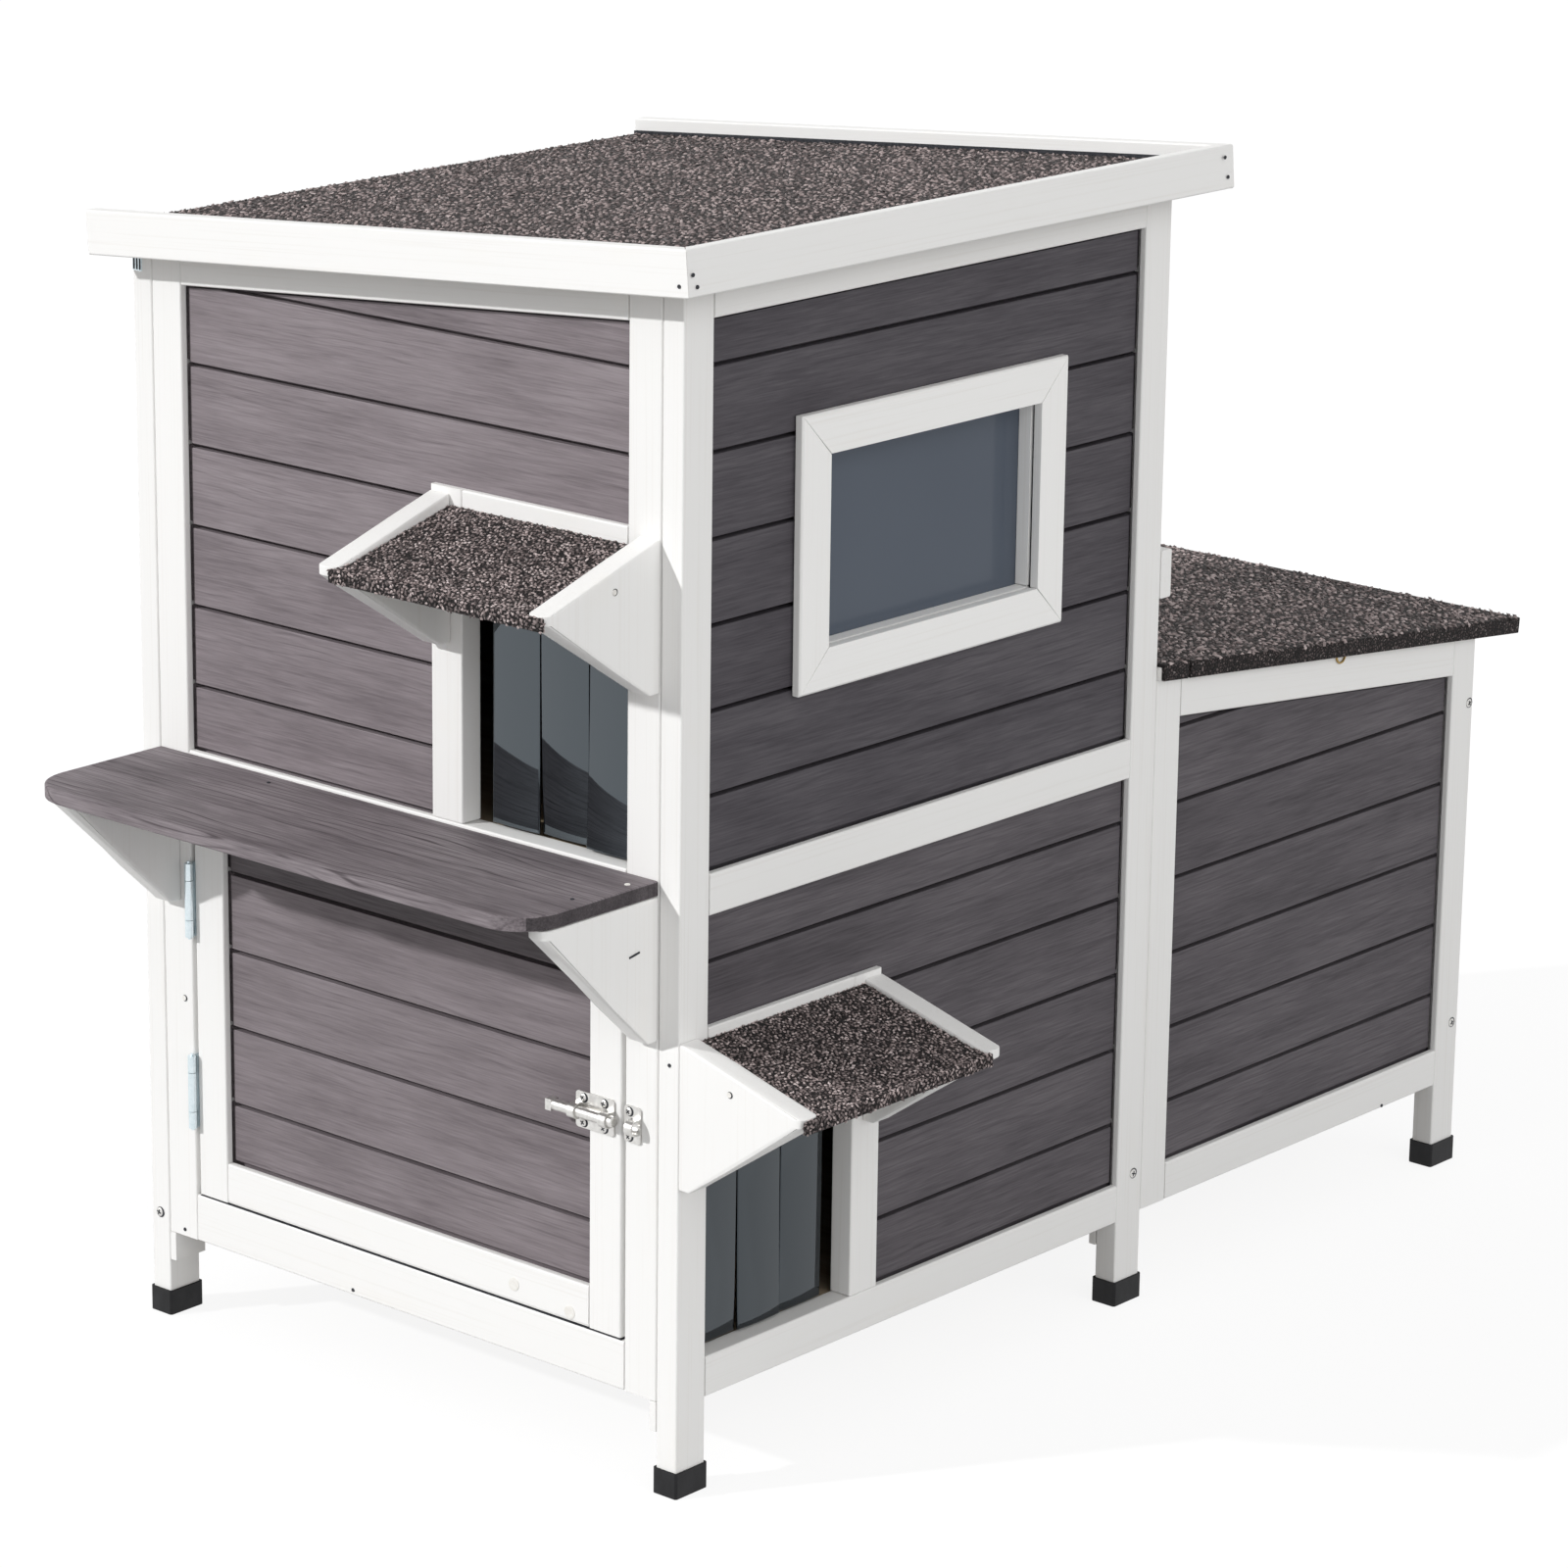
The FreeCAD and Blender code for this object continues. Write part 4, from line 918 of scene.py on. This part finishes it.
def fixings(name, body, head, finish, places):
    """One piece of equal heads; places are (point, way that it faces) pairs."""
    mesh = bpy.data.meshes.new(name + "_points")
    mesh.from_pydata([point for point, _ in places], [], [])
    store(mesh, "facing", [way for _, way in places])
    store(mesh, "twist", [draw.uniform(0, math.pi) for _ in places])
    base = put(name + "_points", mesh)
    piece = shown(name, grown(base, FIXINGS, {"Head": head, "Material": finish}))
    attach(piece, body)


def bar_piece(name, finish, sizes, middles, turn=Matrix.Identity(4)):
    """One piece of equal small bars on the house."""
    pile = Pile()
    for middle in middles:
        bm = bmesh.new()
        add_box(bm, Matrix.Translation(middle) @ turn, sizes)
        pile.take(bm, X_WAY)
    piece = pile.piece(name, finish)
    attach(piece, "house")


# Timber of the house
END_TURN = 0.75
for name in ("right_side_frame", "left_side_frame", "front_frame", "rear_frame", "extension_right_frame",
             "extension_left_frame", "extension_rear_frame", "front_fascia", "rear_fascia",
             "right_fascia", "rear_batten", "lid_hinge_rail"):
    timber(name, WHITE)
timber("door_frame", WHITE, shapes=(hang_low,))
timber("corner_blocks", WHITE)
for name in ("window_frame", "window_lining"):
    timber(name, TRIM_WHITE)
timber("upper_canopy_cheeks", WHITE, Z_WAY, -Y_WAY)
timber("lower_canopy_cheeks", WHITE, Z_WAY, X_WAY)
timber("shelf_brackets", WHITE, Z_WAY, -Y_WAY, (shorten,))
for name in ("main_floor", "upper_floor", "extension_floor", "floor_cleats", "roof_deck", "lid_deck",
             "lid_battens", "window_beads", "strip_clamps"):
    timber(name, BARE)
timber("canopy_decks", BARE, shapes=(sag,))
shelf = timber("shelf", SHELF_STAIN, X_WAY, shapes=(widen_corners,))
second_finish(shelf, END_STAIN, lambda polygon: abs(polygon.normal.x) > END_TURN)

# Panels; the roof and the lid slope, so the upper edges of some panels slope with them
ROOF_FALL = 0.081
LID_FALL = 0.1081
front_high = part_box("front_upper_boards")[1]
side_low, side_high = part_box("extension_right_boards")
under_roof = (front_high - Z_WAY * EDGE_INSET, Vector((ROOF_FALL, 0, -1)).normalized())
under_lid = (Vector((0, side_low.y, side_high.z - EDGE_INSET)), Vector((0, -LID_FALL, -1)).normalized())
boards("front_upper_boards", FRONT_STAIN, X_WAY, -Y_WAY, under_roof)
door, door_joints = boards("door_boards", DOOR_STAIN, X_WAY, -Y_WAY)
# The door's top board takes the darker head stain, a painted shadow of the shelf
second_finish(door, SHELF_SHADOW_STAIN, lambda polygon: polygon.center.z > door_joints[-1])
boards("right_upper_boards", SHADED_SIDE_STAIN, Y_WAY, X_WAY)
boards("right_lower_boards", SHADED_LOW_STAIN, Y_WAY, X_WAY)
boards("left_boards", SHADED_SIDE_STAIN, Y_WAY, -X_WAY)
boards("rear_boards", SHADED_SIDE_STAIN, X_WAY, Y_WAY, under_roof)
boards("extension_right_boards", SHADED_LOW_STAIN, Y_WAY, X_WAY, under_lid)
boards("extension_left_boards", SHADED_LOW_STAIN, Y_WAY, -X_WAY, under_lid)
boards("extension_rear_boards", SHADED_LOW_STAIN, X_WAY, Y_WAY)

# Felts, with granules on their tops only or round their edges too
ROOF_GRIT = (3.2 * MM, 100000.0, 3.4 * MM, 0.02, 0.84)
LID_GRIT = (3.3 * MM, 80000.0, 4.2 * MM, 0.02, 0.92)
CANOPY_GRIT = (1.9 * MM, 280000.0, 2.6 * MM, 0.18, 0.97)
TOPS = 0.3
EDGES = -0.4
felt("roof_felt", ROOF_GRIT, 3, TOPS)
felt("lid_felt", LID_GRIT, 4, TOPS)
felt("lid_front_felt", LID_GRIT, 7, TOPS)
felt("upper_canopy_felt", CANOPY_GRIT, 5, EDGES, (sag,))
felt("lower_canopy_felt", CANOPY_GRIT, 6, EDGES)

# Metal and plastic
for name in ("door_hinge_fixed_leaves", "door_hinge_moving_leaves", "lid_hinge_fixed_leaves",
             "lid_hinge_moving_leaves", "hinge_pins"):
    fittings(name, ZINC, METAL_ARRIS)
for name in ("bolt_plate", "bolt", "bolt_keeper"):
    fittings(name, STEEL, METAL_ARRIS)
fittings("foot_caps", FOOT, FOOT_ARRIS)
fittings("window_pane", PANE, PANE_ARRIS)

# Strip curtains: how far each strip bows and curls, in millimetres
UPPER_BENDS = ((0.8, 3.0), (0.9, -2.4), (0.6, 0.5))
LOWER_BENDS = ((0.7, -1.0), (0.9, 1.2), (0.8, -0.6))
STRIP_ARRIS = 0.7 * MM
STRIP_SHARP = math.radians(50)
CUT_EDGE = 0.9


def curtain_strip(node, finish, across, outward, bend):
    """A strip in its node's place, hung from the node's top edge."""
    low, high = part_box(node)
    thickness = (high - low).dot(Vector([abs(c) for c in outward]))
    bow, curl = bend
    base = put("strip_base", bpy.data.meshes.new("strip_base"))
    mesh = grown(base, STRIP, {"Width": (high - low).dot(across), "Length": high.z - low.z,
                               "Thickness": thickness, "Bow": bow * MM, "Curl": curl * MM,
                               "Material": finish})
    stand = Matrix((Z_WAY.cross(outward), Z_WAY, outward)).transposed().to_4x4()
    stand.translation = (low + high) / 2 - outward * (thickness / 2)
    mesh.transform(stand)
    piece = shown("curtain_" + node, mesh)
    # The strip's cut edges and rounded edges take the pale edge finish, a painted highlight
    second_finish(piece, PVC_EDGE_HIGHLIGHT, lambda polygon: abs(polygon.normal.dot(across)) > CUT_EDGE)
    modifier = piece.modifiers.new("soft_edges", "BEVEL")
    modifier.width = STRIP_ARRIS
    modifier.segments = ARRIS_STEPS
    modifier.material = 1
    modifier.limit_method = "ANGLE"
    modifier.angle_limit = STRIP_SHARP
    stand_for(piece, node)


for k, (upper_bend, lower_bend) in enumerate(zip(UPPER_BENDS, LOWER_BENDS), 1):
    curtain_strip(f"upper_strip_{k}", UPPER_PVC, X_WAY, -Y_WAY, upper_bend)
    curtain_strip(f"lower_strip_{k}", LOWER_PVC, Y_WAY, X_WAY, lower_bend)

# Screws, nails and small metal, in millimetres from the near corner's foot
RIGHT_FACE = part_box("right_side_frame")[1].x
LEFT_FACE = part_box("left_side_frame")[0].x
PLATE_FACE = FRONT_FACE - 1.2 * MM
SHELF_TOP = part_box("shelf")[1].z
UPPER_CHEEK_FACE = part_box("upper_canopy_cheeks")[1].x
LOWER_CHEEK_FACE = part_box("lower_canopy_cheeks")[0].y
FRONT_FASCIA_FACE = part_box("front_fascia")[0].y
RIGHT_FASCIA_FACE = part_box("right_fascia")[1].x
BRACKET_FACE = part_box("shelf_brackets")[1].x


def front_spot(across, height, face=FRONT_FACE):
    """A place on a front face, and the way that it faces."""
    return Vector((RIGHT_FACE + across * MM, face, height * MM)), -Y_WAY


def side_spot(back, height, face=RIGHT_FACE, way=X_WAY):
    """A place on a side face, and the way that it faces."""
    return Vector((face, FRONT_FACE + back * MM, height * MM)), way


def shelf_spot(across, back):
    """A place on the shelf, and the way that it faces."""
    return Vector((RIGHT_FACE + across * MM, FRONT_FACE + back * MM, SHELF_TOP)), Z_WAY


def moved(places, shift):
    """The places, each moved along its surface towards the rear or the right."""
    return [(point + (X_WAY if abs(way.y) > 0.5 else Y_WAY) * shift, way) for point, way in places]


# How far the dark disc under each screw head is moved to one side, and how little it rises: a painted
# shadow
SHADOW_SHIFT = 0.7 * MM
SHADOW_RISE = 0.12 * MM


def screw_parts(name, radius, rise):
    """A screw's head, a dark disc that paints its shadow, and its cross, which paints the shade of its
    recess.
    """
    shadow_disc = nail_head(name + "_seat", radius + SHADOW_SHIFT, SHADOW_RISE)
    return dome_head(name + "_screw", radius, rise), shadow_disc, cross_mark(name + "_cross", radius, rise)


def screws(name, body, parts, places):
    """Screw heads with dark crosses that paint the shade in their recesses, each over a dark disc moved
    to one side that paints its shadow as a crescent beside it.
    """
    head, shadow_disc, cross = parts
    fixings(name + "_holes", body, shadow_disc, NAIL_AND_SHADOW, moved(places, SHADOW_SHIFT))
    fixings(name, body, head, STEEL, places)
    fixings(name + "_crosses", body, cross, NAIL_AND_SHADOW, places)


frame_screw = screw_parts("frame", 3.1 * MM, 0.9 * MM)
plate_screw = screw_parts("plate", 2.6 * MM, 1.1 * MM)
panel_nail = nail_head("panel_nail", 1.3 * MM, 0.35 * MM)
set_nail = nail_head("set_nail", 2.3 * MM, 0.12 * MM)
nail_cap = nail_head("nail_cap", 1.9 * MM, 0.30 * MM)
plug = nail_head("plug", 4.6 * MM, 0.22 * MM)
eye = ring_eye("eye", 5.2 * MM, 0.8 * MM)

SET_SHIFT = 0.5 * MM
BOLT_HEIGHT = 245.45
BOLT_ROWS = (BOLT_HEIGHT + 8.4, BOLT_HEIGHT - 8.4)
PLATE_COLUMNS = (-80.46, -62.66)
KEEPER_COLUMN = -41.06
leg_screws = [front_spot(-481.8, 73.7)]
for back, height in ((475.4, 94.6), (869.1, 357.8), (866.3, 110.1)):
    leg_screws += [side_spot(back, height), side_spot(back, height, LEFT_FACE, -X_WAY)]
screws("leg_screws", "house", frame_screw, leg_screws)
screws("bolt_plate_screws", "door", plate_screw,
       [front_spot(across, height, PLATE_FACE) for across in PLATE_COLUMNS for height in BOLT_ROWS])
screws("bolt_keeper_screws", "house", plate_screw,
       [front_spot(KEEPER_COLUMN, height, PLATE_FACE) for height in BOLT_ROWS])
nails = [front_spot(-8.1, 291.9), shelf_spot(-353.2, -13.2), shelf_spot(-30.9, -64.8),
         front_spot(20.6, 794.8, FRONT_FASCIA_FACE),
         front_spot(-292.4, 66.0), front_spot(-456.6, 67.1), side_spot(779.1, 66.4)]
nails += [side_spot(back, height, RIGHT_FASCIA_FACE)
          for back, height in ((-24.1, 802.3), (-20.1, 794.5), (503.9, 810.1), (508.0, 796.5))]
fixings("panel_nails", "house", panel_nail, NAIL_AND_SHADOW, nails)
set_nails = [side_spot(-41.5, 603.2, UPPER_CHEEK_FACE), front_spot(42.1, 284.3, LOWER_CHEEK_FACE),
             front_spot(-452.9, 235.9)]
fixings("set_nails", "house", set_nail, NAIL_AND_SHADOW, moved(set_nails, SET_SHIFT))
fixings("nail_caps", "house", nail_cap, FILLER, set_nails + [shelf_spot(-27.1, -19.0)])
fixings("door_plugs", "door", plug, FILLER,
        [front_spot(-143.3, 109.6), front_spot(-93.5, 103.3)])
fixings("rail_eye", "house", eye, BRASS, [side_spot(701.5, 425.8)])
for head in heads:
    bpy.data.objects.remove(head)

# Clip on the left leg, with ribs
CLIP_ACROSS, CLIP_HEIGHT = -485.0, 738.0
RIB_STEPS = (-2.8, 0, 2.8)
bar_piece("leg_clip", ZINC, (8.4 * MM, 0.8 * MM, 9.0 * MM),
          [front_spot(CLIP_ACROSS, CLIP_HEIGHT)[0]])
bar_piece("leg_clip_ribs", NAIL_AND_SHADOW, (1.3 * MM, 1.4 * MM, 7.6 * MM),
          [front_spot(CLIP_ACROSS + step, CLIP_HEIGHT)[0] for step in RIB_STEPS])

# Dark strip on the sill under the door: a painted shadow in the gap below it
SILL_BACK, SILL_DROP = 8.5 * MM, 1.9 * MM
SILL_DEPTH, SILL_RISE = 15.0 * MM, 0.6 * MM
sill_middle = Vector(((DOOR_LOW.x + DOOR_HIGH.x) / 2, FRONT_FACE + SILL_BACK, DOOR_LOW.z - SILL_DROP))
bar_piece("sill_strip", NAIL_AND_SHADOW, (DOOR_HIGH.x - DOOR_LOW.x, SILL_DEPTH, SILL_RISE),
          [sill_middle])

# Staple on the right bracket
STAPLE_TURN = Matrix.Rotation(math.radians(10), 4, "X")
bar_piece("bracket_staple", NAIL_AND_SHADOW, (0.7 * MM, 9.5 * MM, 1.2 * MM),
          [side_spot(-22.0, 367.5, BRACKET_FACE)[0]], STAPLE_TURN)

# Dark bar at the roof felt's foot along the rear fascia, a painted shadow line
SHADOW_BAR_DEPTH, SHADOW_BAR_RISE = 2.0 * MM, 2.4 * MM
roof_low, roof_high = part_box("roof_felt")
roof_run = roof_high.x - roof_low.x
shadow_bar_middle = Vector((roof_high.x - roof_run / 2, roof_high.y - SHADOW_BAR_DEPTH / 2,
                      roof_high.z - ROOF_FALL * roof_run / 2 + SHADOW_BAR_RISE / 2))
bar_piece("roof_felt_seam", NAIL_AND_SHADOW, (roof_run, SHADOW_BAR_DEPTH, SHADOW_BAR_RISE), [shadow_bar_middle],
          Matrix.Rotation(-math.atan(ROOF_FALL), 4, "Y"))


# Stage: a white floor that keeps a soft shadow, and a plain bright world
def seen_ray(graph):
    """1 for rays from the camera, in a mirror or through glass."""
    path = graph.add("ShaderNodeLightPath").outputs
    direct = graph.maths("MAXIMUM", path["Is Camera Ray"], path["Is Glossy Ray"])
    return graph.maths("MAXIMUM", direct, path["Is Transmission Ray"])


FLOOR_REACH = 40.0
FLOOR_GLOW = 0.88
FLOOR_SHADOW = 0.16
FLOOR_BOUNCE = 0.50
WORLD_LEVEL = 0.46

paving = Finish("white_floor")
glow = paving.out("ShaderNodeEmission", {"Color": grey(1), "Strength": FLOOR_GLOW})
shadow = paving.out("ShaderNodeBsdfDiffuse", {"Color": grey(FLOOR_SHADOW)})
seen = paving.out("ShaderNodeAddShader", {0: glow, 1: shadow})
bounce = paving.out("ShaderNodeBsdfDiffuse", {"Color": grey(FLOOR_BOUNCE)})
mixed = paving.out("ShaderNodeMixShader", {0: seen_ray(paving), 1: bounce, 2: seen})
paving.add("ShaderNodeOutputMaterial", {"Surface": mixed})
floor_mesh = bpy.data.meshes.new("floor")
floor_corners = [Vector((x, y, 0)) * FLOOR_REACH for x, y in ((-1, -1), (1, -1), (1, 1), (-1, 1))]
floor_mesh.from_pydata(floor_corners, [], [(0, 1, 2, 3)])
floor_mesh.materials.append(paving.material)
put("floor", floor_mesh)

world = bpy.data.worlds.new("white_world")
scene.world = world
world.use_nodes = True
world.node_tree.nodes.clear()
sky = Graph(world.node_tree)
level = sky.out("ShaderNodeMapRange", {0: seen_ray(sky), 1: 0.0, 2: 1.0, 3: WORLD_LEVEL, 4: 1.0})
light = sky.out("ShaderNodeBackground", {"Color": grey(1), "Strength": level})
sky.add("ShaderNodeOutputWorld", {"Surface": light})


def sun(name, source, level, spread):
    """A sun that shines from a direction, at a level of the white that it gives a square surface."""
    data = bpy.data.lights.new(name, "SUN")
    data.energy = level * math.pi
    data.angle = math.radians(spread)
    lamp = put(name, data)
    lamp.rotation_mode = "QUATERNION"
    lamp.rotation_quaternion = Vector(source).to_track_quat("Z", "Y")
    return lamp


sun("key_sun", (-0.62, -1.0, 0.655), 0.75, 1.8)
side_fill = sun("side_fill", (1.0, -0.22, 0.22), 0.50, 75)
side_fill.visible_glossy = False

# Camera, fitted to the photograph
LENS = 125.7882
SENSOR = 36.0
AZIMUTH = math.radians(40.8131)
ELEVATION = math.radians(16.056)
ROLL = math.radians(0.7381)
CAMERA_PLACE = Vector((RIGHT_FACE + 2.16964, FRONT_FACE - 2.41525, 1.41230))
behind = Vector((math.sin(AZIMUTH) * math.cos(ELEVATION), -math.cos(AZIMUTH) * math.cos(ELEVATION),
                 math.sin(ELEVATION)))
right = Vector((math.cos(AZIMUTH), math.sin(AZIMUTH), 0))
up = behind.cross(right)
rolled_right = right * math.cos(ROLL) + up * math.sin(ROLL)
rolled_up = up * math.cos(ROLL) - right * math.sin(ROLL)
aim = Matrix((rolled_right, rolled_up, behind)).transposed().to_4x4()
aim.translation = CAMERA_PLACE
camera = put("camera", bpy.data.cameras.new("camera"))
camera.data.lens = LENS
camera.data.sensor_width = SENSOR
camera.matrix_world = aim
scene.camera = camera
scene.view_settings.view_transform = "Standard"
